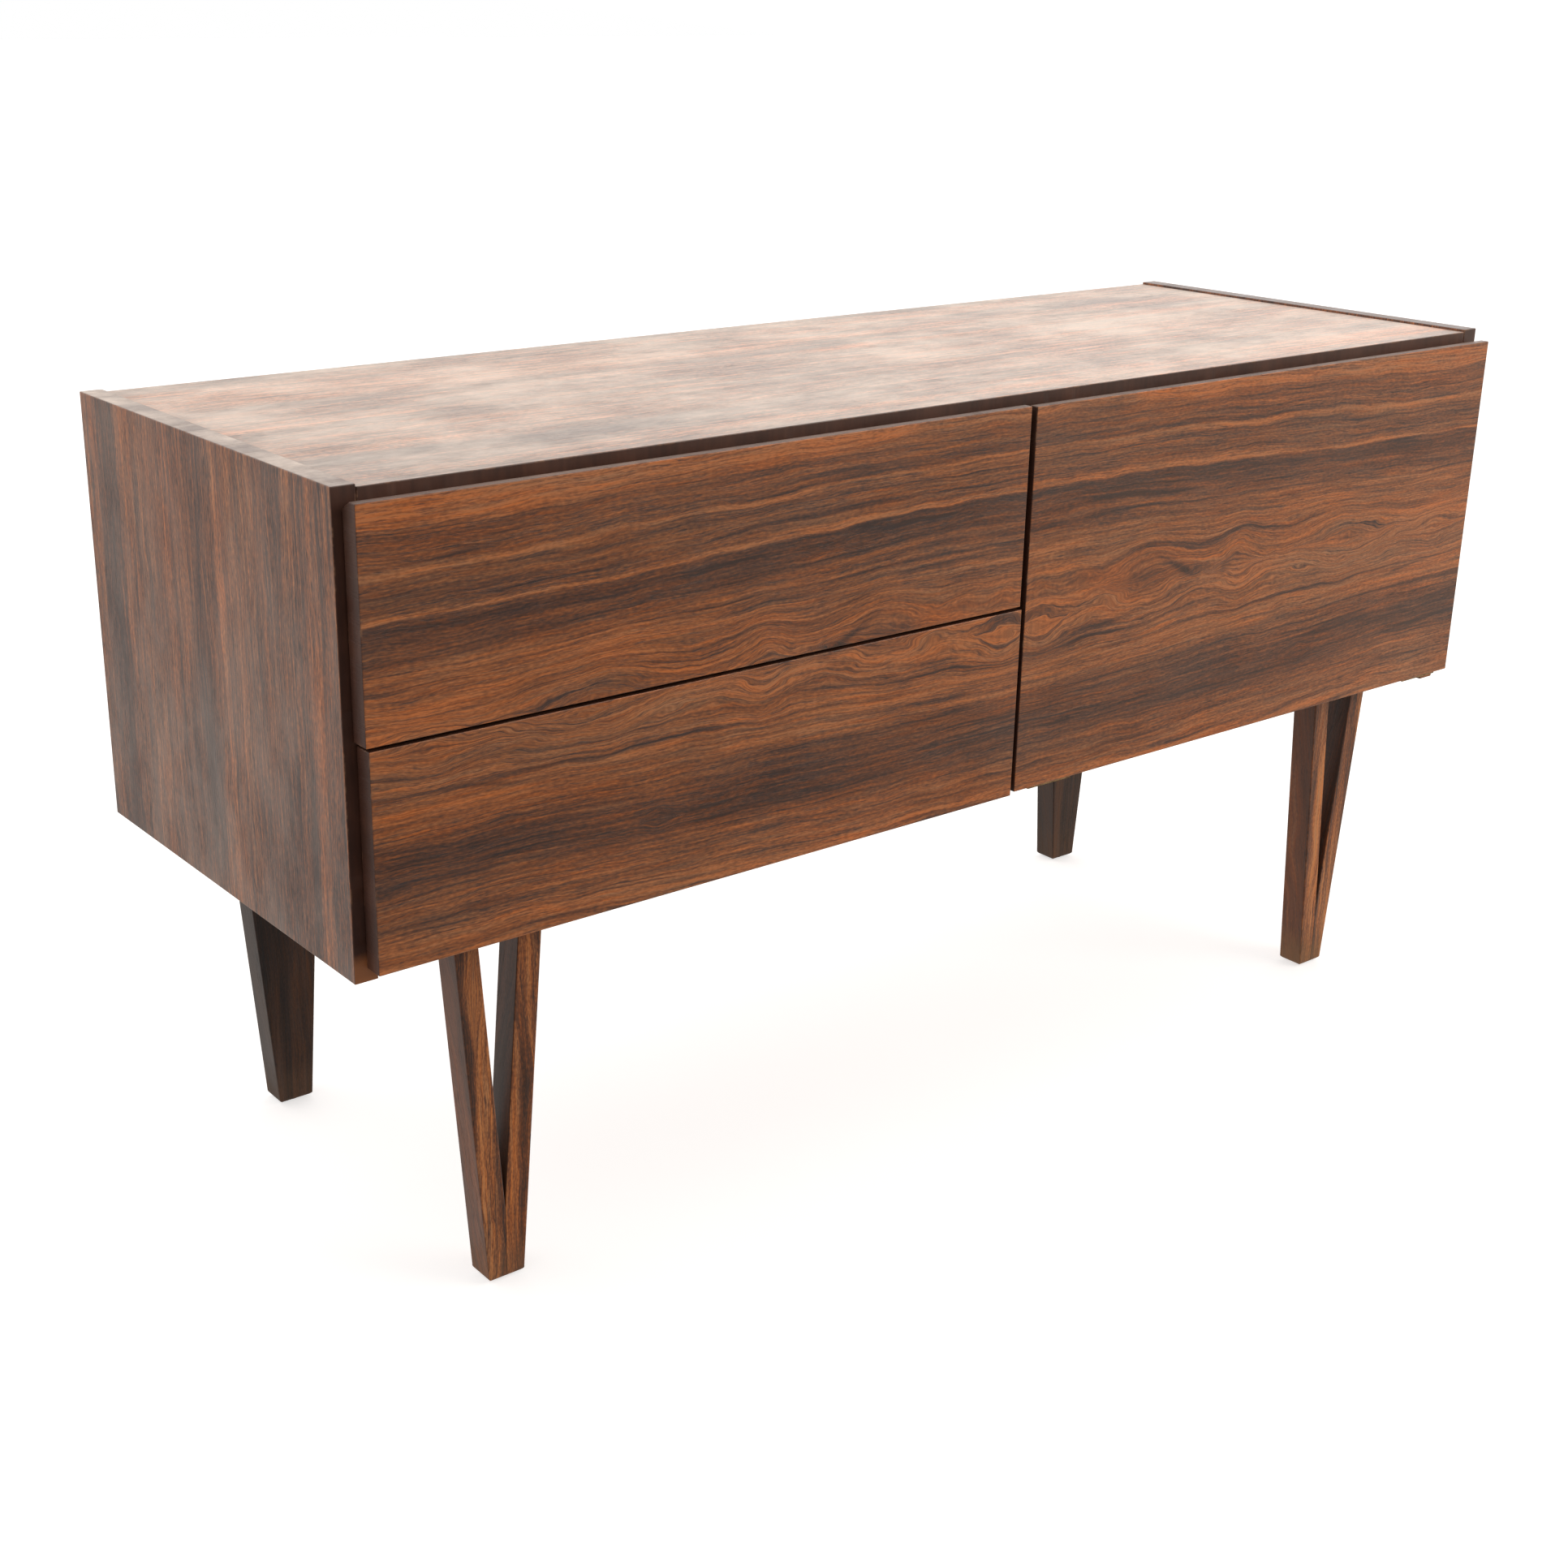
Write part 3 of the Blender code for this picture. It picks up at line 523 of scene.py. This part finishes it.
def inked(graph, along, across, seed):
    """Thin dark lines, 0 to 1, that run on and on with the grain and come and go."""
    field = graph.grained(along, across, INK_RATES[0], graph.add(seed, 13.0), 1.0)
    line = graph.span(graph.math("ABSOLUTE", field), 0.0, INK_WIDTH, 1.0, 0.0)
    presence = graph.grained(along, across, INK_RATES[1], graph.add(seed, 15.0))
    return graph.times(line, graph.span(presence, -0.10, 0.10, 0.1, 1.0))


def tinted(graph, colour, along, across, seed):
    """Wood colour made redder in some streaks and greyer in others."""
    fine = graph.grained(along, across, TINT_RATES[0], graph.add(seed, 4.0), 3.0, 0.7)
    wide = graph.grained(along, across, TINT_RATES[1], graph.add(seed, 6.0))
    shift = graph.add(0.5, *graph.scaled((fine, wide), TINT_WEIGHTS))
    return graph.mix(1.0, colour, graph.ramp(shift, WOOD_TINTS), "MULTIPLY")


def pores(graph, along, across, seed):
    """Short dark pore lines, 0 to 1, crowded in some streaks and rare in others."""
    field = graph.grained(along, across, PORE_RATES[0], graph.add(seed, 9.0), 1.0)
    crowd = graph.grained(along, across, PORE_RATES[1], graph.add(seed, 9.0))
    return graph.span(graph.add(field, graph.times(crowd, 0.5)), *PORE_SPAN)


def swell(graph, along, across, place, level, half_length, half_height, slant=0.0):
    """A smooth bump, 1 at its middle, that may climb along the grain."""
    off = graph.math("SUBTRACT", along, place)
    u = graph.times(off, 1.0 / half_length)
    v = graph.math("SUBTRACT", across, graph.add(level, graph.times(off, slant)))
    v = graph.times(v, 1.0 / half_height)
    square = graph.add(graph.times(u, u), graph.times(v, v))
    return graph.math("EXPONENT", graph.times(square, -1.0))


def led_round(graph, along, across, place, level, half_length, half_height, climb):
    """The across-grain place led round an eye, with rings inside it, and the eye's outline."""
    u = graph.times(graph.math("SUBTRACT", along, place), 1.0 / half_length)
    gape = graph.times(graph.math("EXPONENT", graph.times(u, u, -1.0)), half_height)
    off = graph.math("SUBTRACT", across, level)
    away = graph.math("ABSOLUTE", off)
    beyond = graph.math("MAXIMUM", graph.math("SUBTRACT", away, gape), 0.0)
    beyond = graph.times(beyond, 0.5 / half_height)
    push = graph.times(gape, graph.math("EXPONENT", graph.times(beyond, beyond, -1.0)))
    push = graph.times(graph.math("SIGN", off), graph.math("MINIMUM", away, push))
    inward = graph.math("DIVIDE", away, graph.math("MAXIMUM", gape, 0.00001))
    inward = graph.math("MAXIMUM", graph.math("SUBTRACT", 1.0, inward), 0.0)
    led = graph.add(graph.math("SUBTRACT", across, push), graph.times(inward, climb))
    off_rim = graph.times(graph.math("SUBTRACT", away, gape), 1.0 / EYE_RIM[0])
    fade = graph.add(graph.times(off_rim, off_rim), graph.times(u, u, 0.7))
    return led, graph.math("EXPONENT", graph.times(fade, -1.0))


def front_darkness(graph):
    """The fronts' book-matched veneer, mirrored about the middle seam."""
    seam = graph.math("ABSOLUTE", graph.x)
    height = warped(graph, seam, graph.z, 2.0, 0.8)
    outward = graph.span(seam, *FRONT_BAND_SPAN, 0.0, FRONT_BAND_DROP)
    lowest, highest = FIGURE_HEIGHT - FIGURE_REACH, FIGURE_HEIGHT + FIGURE_REACH
    side = graph.span(graph.z, lowest, highest, -1.0, 1.0)
    height = graph.add(height, graph.times(outward, side))
    off_belt = graph.times(graph.math("SUBTRACT", graph.z, FIGURE_HEIGHT), 1.0 / FIGURE_BELT[0])
    belt = graph.math("EXPONENT", graph.times(off_belt, off_belt, -1.0))
    curls = graph.grained(seam, graph.z, CURL_RATES, 12.0)
    height = graph.add(height, graph.times(curls, belt, FIGURE_BELT[1]))
    droop = swell(graph, seam, graph.z, *SEAM_DROOP)
    height = graph.add(height, graph.times(droop, SEAM_DROOP_DEPTH))
    rims = 0.0
    for eye in FRONT_EYES:
        height, rim = led_round(graph, seam, height, *eye)
        rims = graph.add(rims, rim)
    low, high = FRONT_BANDS[0][0], FRONT_BANDS[-1][0]
    stops = [((z - low) / (high - low), (d, d, d)) for z, d in FRONT_BANDS]
    place = graph.times(graph.math("SUBTRACT", height, low), 1.0 / (high - low))
    bands = graph.add(graph.ramp(place, stops), graph.times(rims, EYE_RIM[1]))
    ragged = graph.add(graph.z, graph.times(curls, SPOT_RAGGEDNESS))
    for *spot, slant, depth in FRONT_SPOTS:
        bands = graph.add(bands, graph.times(swell(graph, seam, ragged, *spot, slant), depth))
    for level, thickness, place, half_length, depth in FRONT_LINES:
        line = swell(graph, seam, height, place, level, half_length, thickness)
        bands = graph.add(bands, graph.times(line, depth))
    return seam, height, bands


def rosewood_front(node):
    """Book-matched rosewood veneer on a front, with dark edge strips."""
    graph = material_graph(node + "_veneer")
    seam, height, bands = front_darkness(graph)
    seed = graph.times(graph.math("SIGN", graph.x), SEAM_SEED)
    broad, fine = streaks(graph, seam, height, seed)
    pore = pores(graph, seam, height, seed)
    ink = inked(graph, seam, height, seed)
    grain = graph.scaled((broad, fine, pore, ink), FRONT_WEIGHTS)
    darkness = graph.add(bands, *grain, FRONT_DARKNESS)
    colour = tinted(graph, graph.ramp(darkness, ROSEWOOD), seam, height, seed)
    film = (FRONT_HAZE, FRONT_TOP_HAZE, FRONT_DUST, FRONT_CLOUD, FRONT_CLOUD_RATES)
    return finish_veneer(graph, node, "Y", colour, pore, fine, film)


def rosewood_board(node):
    """Plain rosewood veneer on a case board, grain along one axis."""
    face, grain, side, seed, depth, contrast, haze, cloud, top_haze, figured = CASE_BOARDS[node]
    graph = material_graph(node + "_veneer")
    along = graph.axes[grain]
    across = warped(graph, along, graph.axes[side], seed)
    if figured:
        across, rim = led_round(graph, along, across, *SIDE_EYE)
    bands = graph.grained(along, across, BOARD_BANDS, seed, 2.0, 0.6)
    broad, fine = streaks(graph, along, across, seed)
    pore = pores(graph, along, across, seed)
    ink = inked(graph, along, across, seed)
    contrasts = [contrast * each for each in BOARD_CONTRASTS]
    darkness = graph.add(
        depth,
        *graph.scaled((bands, broad, fine), contrasts),
        *graph.scaled((pore, ink), BOARD_WEIGHTS),
    )
    if figured:
        lower = graph.span(graph.z, *SIDE_HEIGHTS, *SIDE_DARKER)
        darkness = graph.add(darkness, graph.times(rim, SIDE_EYE_RIM), lower)
        for *spot, dark in SIDE_SHADES:
            shade = swell(graph, along, across, *spot)
            darkness = graph.add(darkness, graph.times(shade, dark))
        hazes = [haze * each for each in SIDE_HAZIER]
        haze = graph.span(graph.z, *SIDE_HEIGHTS, *hazes)
    colour = tinted(graph, graph.ramp(darkness, ROSEWOOD), along, across, seed)
    cloud_rates = [BOARD_CLOUD_RATES[axis != grain] for axis in "XYZ"]
    film = (haze, top_haze, BOARD_DUST, cloud, cloud_rates)
    return finish_veneer(graph, node, face, colour, pore, fine, film)


def edge_strip(graph):
    """The dark wood of a board's edges, with painted light on the low ends of the front ones,
    where the fronts' shadow does not reach.
    """
    tone = graph.noise(graph.times(graph.x, 30.0), graph.times(graph.z, 30.0), 7.0, 3.0)
    fine = graph.mottle((260.0, 260.0, 40.0))
    strip = graph.ramp(graph.add(0.45, tone, graph.times(fine, 0.6)), ROSEWOOD_EDGE)
    # Painted light: the low ends of the case's front edges, below the fronts' shadow, are
    # browned
    height = graph.add(graph.z, graph.times(tone, 0.02))
    lit_low_end = graph.span(height, *PAINTED_LIGHT_EDGE_HEIGHTS, 1.0, 0.0)
    forward = graph.times(graph.normal("Y"), -1.0)
    lit_facing = graph.span(forward, *FACING, 0.0, PAINTED_LIGHT_EDGE_STRENGTH)
    return graph.mix(graph.times(lit_low_end, lit_facing), strip, PAINTED_LIGHT_EDGE_COLOUR)


def finish_veneer(graph, node, face, colour, pore, fine, film):
    """Lacquer, dust, worn arrises and dark edge strips over the veneer's colour."""
    haze, top_haze, tint, cloud, cloud_rates = film
    flat = graph.facing(face)
    colour = graph.mix(flat, edge_strip(graph), colour)
    dust = graph.span(graph.mottle(cloud_rates, 5.0, 0.68), *CLOUD_SPAN)
    cloudy = graph.add(CLOUD_MIDDLE - cloud / 2, graph.times(dust, cloud))
    near_edge = graph.span(graph.edge_distance(node), *WORN_EDGE_REACH, 1.0, 0.0)
    nicks = graph.mottle((70.0, 70.0, 70.0), 3.0, 0.7)
    wear = graph.times(near_edge, graph.span(nicks, 0.02, 0.16))
    colour = graph.mix(graph.times(wear, WORN_EDGE_STRENGTH), colour, WORN_EDGE_COLOUR)
    exposed = graph.span(graph.z, DUSTY_HEIGHT, DUSTY_HEIGHT + 0.02)
    up = graph.span(graph.normal("Z"), *FACING, EDGE_HAZE, top_haze)
    shown = graph.math("MAXIMUM", graph.times(up, exposed), graph.times(flat, haze))
    dull = graph.scaled((dust, pore, wear, fine), VENEER_DULLING)
    graph.bump(graph.add(graph.times(pore, -1.0), graph.times(fine, 0.5)), PORE_DEPTH)
    return graph.finish(
        Base_Color=colour,
        Roughness=graph.add(VENEER_ROUGHNESS, *dull),
        Sheen_Weight=graph.times(shown, cloudy),
        Sheen_Roughness=0.5,
        Sheen_Tint=(*tint, 1.0),
    )


def rosewood_leg(node, palette, seed, middle, wear, eye=None):
    """Solid figured rosewood, grain down the leg, with painted shade on its sides and deeper in
    the V, and paler at a worn foot.
    """
    graph = material_graph(node + "_wood")
    lean = graph.math("SUBTRACT", graph.x, middle)
    place = graph.add(lean, graph.times(graph.y, LEG_GRAIN_SLOPE))
    across = warped(graph, graph.z, place, seed, LEG_WANDER)
    if eye:
        across = led_round(graph, graph.z, across, *eye)[0]
    bands = graph.grained(graph.z, across, LEG_BANDS, seed)
    broad, fine = streaks(graph, graph.z, across, seed, LEG_STREAK_RATE)
    pore = pores(graph, graph.z, across, seed)
    grain = graph.scaled((bands, broad, fine, pore), LEG_WEIGHTS)
    darkness = graph.add(LEG_DARKNESS, *grain)
    # Painted shade: the sides are calmed and darkened, and the faces deep in the V darker still
    sideways = graph.facing("X")
    opening = graph.times(graph.math("SUBTRACT", graph.z, NOTCH_APEX), NOTCH_SLOPE)
    inside = graph.math("SUBTRACT", graph.math("ABSOLUTE", lean), opening)
    inside = graph.times(sideways, graph.span(inside, *NOTCH_EDGE, 1.0, 0.0))
    calm_and_shade = graph.times(sideways, LEG_SIDE_CALM_AND_SHADE)
    darkness = graph.times(darkness, graph.math("SUBTRACT", 1.0, calm_and_shade))
    shades = (LEG_SIDE_PAINTED_SHADE_TONE, LEG_SIDE_SHADE, NOTCH_SHADE)
    darkness = graph.add(darkness, *graph.scaled((calm_and_shade, sideways, inside), shades))
    colour = tinted(graph, graph.ramp(darkness, palette), graph.z, across, seed)
    scuffs = graph.mottle((60.0, 60.0, 30.0), 3.0, 0.7)
    height = graph.add(graph.z, graph.times(scuffs, 0.05))
    worn = graph.span(height, *WORN_FOOT_HEIGHT, 1.0, 0.0)
    colour = graph.mix(graph.times(worn, wear), colour, WORN_FOOT_COLOUR)
    dull = graph.scaled((worn, pore, fine), LEG_DULLING)
    graph.bump(graph.add(graph.times(pore, -1.0), graph.times(fine, 0.5)), PORE_DEPTH)
    return graph.finish(
        Base_Color=colour,
        Roughness=graph.add(LEG_ROUGHNESS, *dull),
        Sheen_Weight=LEG_HAZE,
        Sheen_Tint=(*LEG_DUST, 1.0),
    )


def pale_wood(node, along, across, palette, seed):
    """Unfinished beech or plywood of the drawer boxes, runners and back."""
    graph = material_graph(node + "_wood")
    run = graph.axes[along]
    across = warped(graph, run, graph.axes[across], seed, 0.5)
    bands = graph.grained(run, across, PALE_BANDS, seed)
    broad, fine = streaks(graph, run, across, seed)
    flecks = graph.span(graph.grained(run, across, FLECK_RATES, seed, 1.0), *FLECK_SPAN)
    grain = graph.scaled((bands, broad, fine, flecks), PALE_WEIGHTS)
    darkness = graph.add(PALE_DARKNESS, *grain)
    graph.bump(fine, PALE_DEPTH)
    return graph.finish(
        Base_Color=graph.ramp(darkness, palette),
        Roughness=graph.add(PALE_ROUGHNESS, graph.times(fine, 0.2)),
    )


def metal(name, bright, dull, roughness):
    """Turned or pressed metal with fine scratches and dull patches."""
    graph = material_graph(name)
    patch = graph.mottle((120.0, 120.0, 120.0), 3.0, 0.6)
    scratch = graph.mottle((300.0, 2500.0, 2500.0))
    stain = graph.span(graph.add(patch, graph.times(scratch, 0.4)), -0.10, 0.20)
    graph.bump(scratch, 0.00002)
    return graph.finish(
        Base_Color=graph.mix(stain, bright, dull),
        Metallic=1.0,
        Roughness=graph.add(roughness, graph.times(stain, 0.22)),
    )


def plastic(name, colour, scuffed):
    """Moulded plastic with a fine grain and scuffs."""
    graph = material_graph(name)
    grain = graph.mottle((1500.0, 1500.0, 1500.0))
    scuff = graph.mottle((160.0, 160.0, 160.0), 3.0, 0.7)
    mark = graph.span(scuff, 0.05, 0.25)
    graph.bump(grain, 0.00004)
    return graph.finish(
        Base_Color=graph.mix(mark, colour, scuffed),
        Roughness=graph.add(0.48, graph.times(mark, 0.2)),
    )


def spread(node, axis, fractions):
    """Places across a node's box along one axis, from its middle, as parts of its half size."""
    low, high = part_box(node)
    return [(low[axis] + high[axis]) / 2 + f * (high[axis] - low[axis]) / 2 for f in fractions]


def middle_of(node, axis):
    return spread(node, axis, (0.0,))[0]


def paint(node, material):
    """Give a CAD node a material in every slot."""
    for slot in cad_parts[node].material_slots:
        slot.material = material


def paint_case():
    for node in CASE_BOARDS:
        paint(node, rosewood_board(node))
    paint("back_panel", pale_wood("back_panel", "X", "Z", PLYWOOD, 3.0))


def paint_fronts():
    for node in ("upper_drawer_front", "lower_drawer_front", "flap_panel"):
        paint(node, rosewood_front(node))


def paint_legs():
    for index, side in enumerate(("left", "right")):
        back = f"back_leg_{side}"
        middle = middle_of(back, 0)
        for arm, seed in (("outer", 2.0), ("inner", 5.0)):
            node = f"front_leg_{side}_{arm}_arm"
            eye = LEG_EYE if (side, arm) == ("left", "outer") else None
            wood = rosewood_leg(node, ROSEWOOD_LEG, seed + index, middle, LEG_WEAR[side], eye)
            paint(node, wood)
        # The back legs take the palette with painted shade from the case above
        paint(back, rosewood_leg(back, ROSEWOOD_SHADED, 8.0 + index, middle, BACK_LEG_WEAR))


def paint_boxes():
    for index, drawer in enumerate(DRAWERS):
        boards = [
            ("box_front", "X", "Z", BEECH, 1.0 + index),
            ("back", "X", "Z", BEECH, 3.0 + index),
            ("bottom", "X", "Y", PLYWOOD, 5.0 + index),
        ]
        for side in ("left", "right"):
            seed = 7.0 + 2 * index + (side == "left")
            boards.append((f"side_{side}", "Y", "Z", BEECH, seed))
            boards.append((f"runner_{side}", "Y", "Z", BEECH, seed + 20.0))
        for board, *wood in boards:
            node = f"{drawer}_{board}"
            paint(node, pale_wood(node, *wood))


def paint_fittings(brass, steel, black):
    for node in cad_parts:
        if node.startswith(("hinge_", "stay_")):
            paint(node, brass)
        elif node.startswith(("back_screw", "leg_plate", "catch_strike")):
            paint(node, steel)
        elif node.startswith(("glide_", "catch_body")):
            paint(node, black)


def place_on(form, points, rings, place, turn):
    """A closed prism from one outline drawn in rings: (height, scale about its middle)."""
    middle = sum((Vector(point) for point in points), Vector((0.0, 0.0))) / len(points)
    loops = []
    for height, scale in rings:
        loop = []
        for point in points:
            flat = middle + (Vector(point) - middle) * scale
            loop.append(form.verts.new(place + turn @ Vector((*flat, height))))
        loops.append(loop)
    for lower, upper in zip(loops, loops[1:]):
        for i in range(len(points)):
            j = (i + 1) % len(points)
            form.faces.new((lower[i], lower[j], upper[j], upper[i]))
    form.faces.new(reversed(loops[0]))
    form.faces.new(loops[-1])


def raised(rings, height):
    """Rings given as parts of a height, in metres."""
    return [(part * height, scale) for part, scale in rings]


def add_screw(form, place, facing, index):
    """A slotted head: a thin disc that carries two rounded halves."""
    turn = Vector(facing).to_track_quat("Z", "Y").to_matrix()
    turn = turn @ Matrix.Rotation(HEAD_TURN * index, 3, "Z")
    disc = []
    for step in range(2 * HEAD_ARC_STEPS):
        angle = math.pi * step / HEAD_ARC_STEPS
        disc.append((HEAD_RADIUS * math.cos(angle), HEAD_RADIUS * math.sin(angle)))
    place = Vector(place)
    place_on(form, disc, raised(HEAD_DISC, HEAD_HEIGHT), place, turn)
    start = math.asin(HEAD_SLOT / 2 / HEAD_RADIUS)
    for flip in (0.0, math.pi):
        half = []
        for step in range(HEAD_ARC_STEPS + 1):
            angle = flip + start + (math.pi - 2 * start) * step / HEAD_ARC_STEPS
            half.append((HEAD_RADIUS * math.cos(angle), HEAD_RADIUS * math.sin(angle)))
        place_on(form, half, raised(HEAD_DOME, HEAD_HEIGHT), place, turn)


def add_piece(name, form, body, material):
    mesh = bpy.data.meshes.new(name)
    form.to_mesh(mesh)
    form.free()
    mesh.materials.append(material)
    piece = bpy.data.objects.new(name, mesh)
    bpy.context.scene.collection.objects.link(piece)
    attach(piece, body)


def screws_under_case():
    """Hinge leaves on the case and the leg plates, seen from below; the stay's axle plate."""
    screws = []
    for side in ("left", "right"):
        leaf = f"hinge_{side}_case_leaf"
        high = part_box(leaf)[1]
        for x in spread(leaf, 0, LEAF_SCREWS):
            screws.append(((x, high.y - LEAF_INSET, high.z - LEAF_THICKNESS), (0, 0, -1)))
    for end, leg in (("front", "front_leg_{}_outer_arm"), ("back", "back_leg_{}")):
        for side in ("left", "right"):
            plate = f"leg_plate_{end}_{side}"
            low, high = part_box(plate)
            leg_low, leg_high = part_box(leg.format(side))
            bare = (leg_high.y, high.y) if end == "front" else (low.y, leg_low.y)
            for x in spread(plate, 0, LEG_PLATE_SCREWS):
                screws.append(((x, sum(bare) / 2, low.z), (0, 0, -1)))
    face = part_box("stay_axle_plate")[1].x - AXLE_PLATE_THICKNESS
    for z in spread("stay_axle_plate", 2, AXLE_PLATE_SCREWS):
        screws.append(((face, middle_of("stay_axle_plate", 1), z), (-1, 0, 0)))
    return screws


def screws_on_flap():
    """Hinge leaves on the flap, the stay's bracket and the catch's strike plate."""
    screws = []
    for side in ("left", "right"):
        leaf = f"hinge_{side}_flap_leaf"
        low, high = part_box(leaf)
        face = high.z - FLAP_LEAF_THICKNESS
        for x in spread(leaf, 0, PAIR_SCREWS):
            screws.append(((x, low.y + FLAP_LEAF_INSET, face), (0, 0, -1)))
    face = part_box("stay_bracket")[0].y + BRACKET_THICKNESS
    for z in spread("stay_bracket", 2, BRACKET_SCREWS):
        screws.append(((middle_of("stay_bracket", 0), face, z), (0, 1, 0)))
    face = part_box("catch_strike")[1].y
    for x in spread("catch_strike", 0, PAIR_SCREWS):
        screws.append(((x, face, middle_of("catch_strike", 2)), (0, 1, 0)))
    return screws


def screws_in_drawer(drawer):
    """Screws from inside the box that hold the drawer's front."""
    board = f"{drawer}_box_front"
    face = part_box(board)[1].y
    places = [(x, face, middle_of(board, 2)) for x in spread(board, 0, DRAWER_SCREWS)]
    return [(place, (0, 1, 0)) for place in places]


def add_screws(name, screws, body, material):
    form = bmesh.new()
    for index, (place, facing) in enumerate(screws):
        add_screw(form, place, facing, index)
    add_piece(name, form, body, material)


def add_catch_poles(steel):
    """Four steel pole pieces in the face of the magnetic catch."""
    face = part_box("catch_body")[0].y
    form = bmesh.new()
    turn = Vector((0, -1, 0)).to_track_quat("Z", "Y").to_matrix()
    length, height, width = POLE_SIZE
    outline = [(-length, -width), (length, -width), (length, width), (-length, width)]
    outline = [(a / 2, b / 2) for a, b in outline]
    for x in (-1, 1):
        for z in (-1, 1):
            across = middle_of("catch_body", 0) + x * POLE_STEP[0] / 2
            level = middle_of("catch_body", 2) + z * POLE_STEP[1] / 2
            place = Vector((across, face, level))
            place_on(form, outline, raised(POLE_RINGS, height), place, turn)
    add_piece("catch_poles", form, "case", steel)


def add_floor():
    """A pale floor that catches a soft shadow and is bright to the camera alone."""
    mesh = bpy.data.meshes.new("floor")
    form = bmesh.new()
    bmesh.ops.create_grid(form, x_segments=1, y_segments=1, size=FLOOR_SIZE)
    form.to_mesh(mesh)
    form.free()
    floor = bpy.data.objects.new("floor", mesh)
    bpy.context.scene.collection.objects.link(floor)
    graph = material_graph("floor_paint")
    tone = graph.noise(graph.times(graph.x, 3.0), graph.times(graph.y, 3.0), 0.0, 2.0)
    material = graph.finish(
        Base_Color=graph.mix(graph.span(tone, -0.3, 0.3), *FLOOR_GREYS),
        Roughness=0.9,
        Specular_IOR_Level=0.0,
        Emission_Color=(1.0, 1.0, 1.0, 1.0),
        Emission_Strength=FLOOR_GLOW,
    )
    mesh.materials.append(material)
    floor.visible_diffuse = False
    floor.visible_glossy = False


def add_light():
    light = bpy.data.lights.new("front_light", "AREA")
    light.shape = "RECTANGLE"
    light.size, light.size_y = LIGHT_SIZE
    light.energy = LIGHT_POWER
    light.color = LIGHT_COLOUR
    lamp = bpy.data.objects.new("front_light", light)
    lamp.location = LIGHT_PLACE
    aim = Vector(LIGHT_TARGET) - Vector(LIGHT_PLACE)
    lamp.rotation_euler = aim.to_track_quat("-Z", "Y").to_euler()
    bpy.context.scene.collection.objects.link(lamp)


def add_world():
    """White to the camera; to the cabinet, a room with its brighter side behind it."""
    world = bpy.data.worlds.new("studio")
    graph = Graph(world, "Background", "Generated")
    behind = graph.span(graph.y, *ROOM_BEHIND)
    above = graph.span(graph.z, *ROOM_HORIZON)
    floor_side = graph.add(ROOM_FLOOR[0], graph.times(behind, ROOM_FLOOR[1]))
    wall_side = graph.add(ROOM_WALL[0], graph.times(behind, ROOM_WALL[1]))
    gap = graph.math("SUBTRACT", wall_side, floor_side)
    rightward = graph.span(graph.x, *ROOM_RIGHTWARD)
    level = graph.add(floor_side, graph.times(gap, above), graph.times(rightward, ROOM_RIGHT))
    right_colour = graph.mix(behind, ROOM_RIGHT_FRONT_COLOUR, ROOM_RIGHT_BACK_COLOUR)
    colour = graph.mix(rightward, ROOM_COLOUR, right_colour)
    seen = graph.nodes.new("ShaderNodeLightPath").outputs["Is Camera Ray"]
    graph.finish(
        Color=graph.mix(seen, colour, (1.0, 1.0, 1.0)),
        Strength=graph.math("MAXIMUM", seen, level),
    )
    bpy.context.scene.world = world


def add_camera():
    data = bpy.data.cameras.new("camera")
    data.sensor_width = 36.0
    data.lens = CAMERA_LENS
    data.shift_x, data.shift_y = CAMERA_SHIFT
    data.clip_start, data.clip_end = 0.05, 100.0
    camera = bpy.data.objects.new("camera", data)
    turn = Euler((math.pi / 2 - CAMERA_TILT, 0.0, -CAMERA_HEADING)).to_matrix()
    turn = turn @ Matrix.Rotation(CAMERA_ROLL, 3, "Z")
    camera.matrix_world = Matrix.LocRotScale(Vector(CAMERA_PLACE), turn.to_quaternion(), None)
    bpy.context.scene.collection.objects.link(camera)
    bpy.context.scene.camera = camera


paint_case()
paint_fronts()
paint_legs()
paint_boxes()
brass = metal("brass", *BRASS)
steel = metal("steel", *STEEL)
paint_fittings(brass, steel, plastic("black_plastic", *BLACK_PLASTIC))
add_screws("case_screws", screws_under_case(), "case", steel)
add_screws("flap_screws", screws_on_flap(), "flap", brass)
for drawer in DRAWERS:
    add_screws(f"{drawer}_screws", screws_in_drawer(drawer), drawer, steel)
add_catch_poles(steel)
add_floor()
add_world()
add_light()
add_camera()
bpy.context.scene.view_settings.view_transform = "Standard"
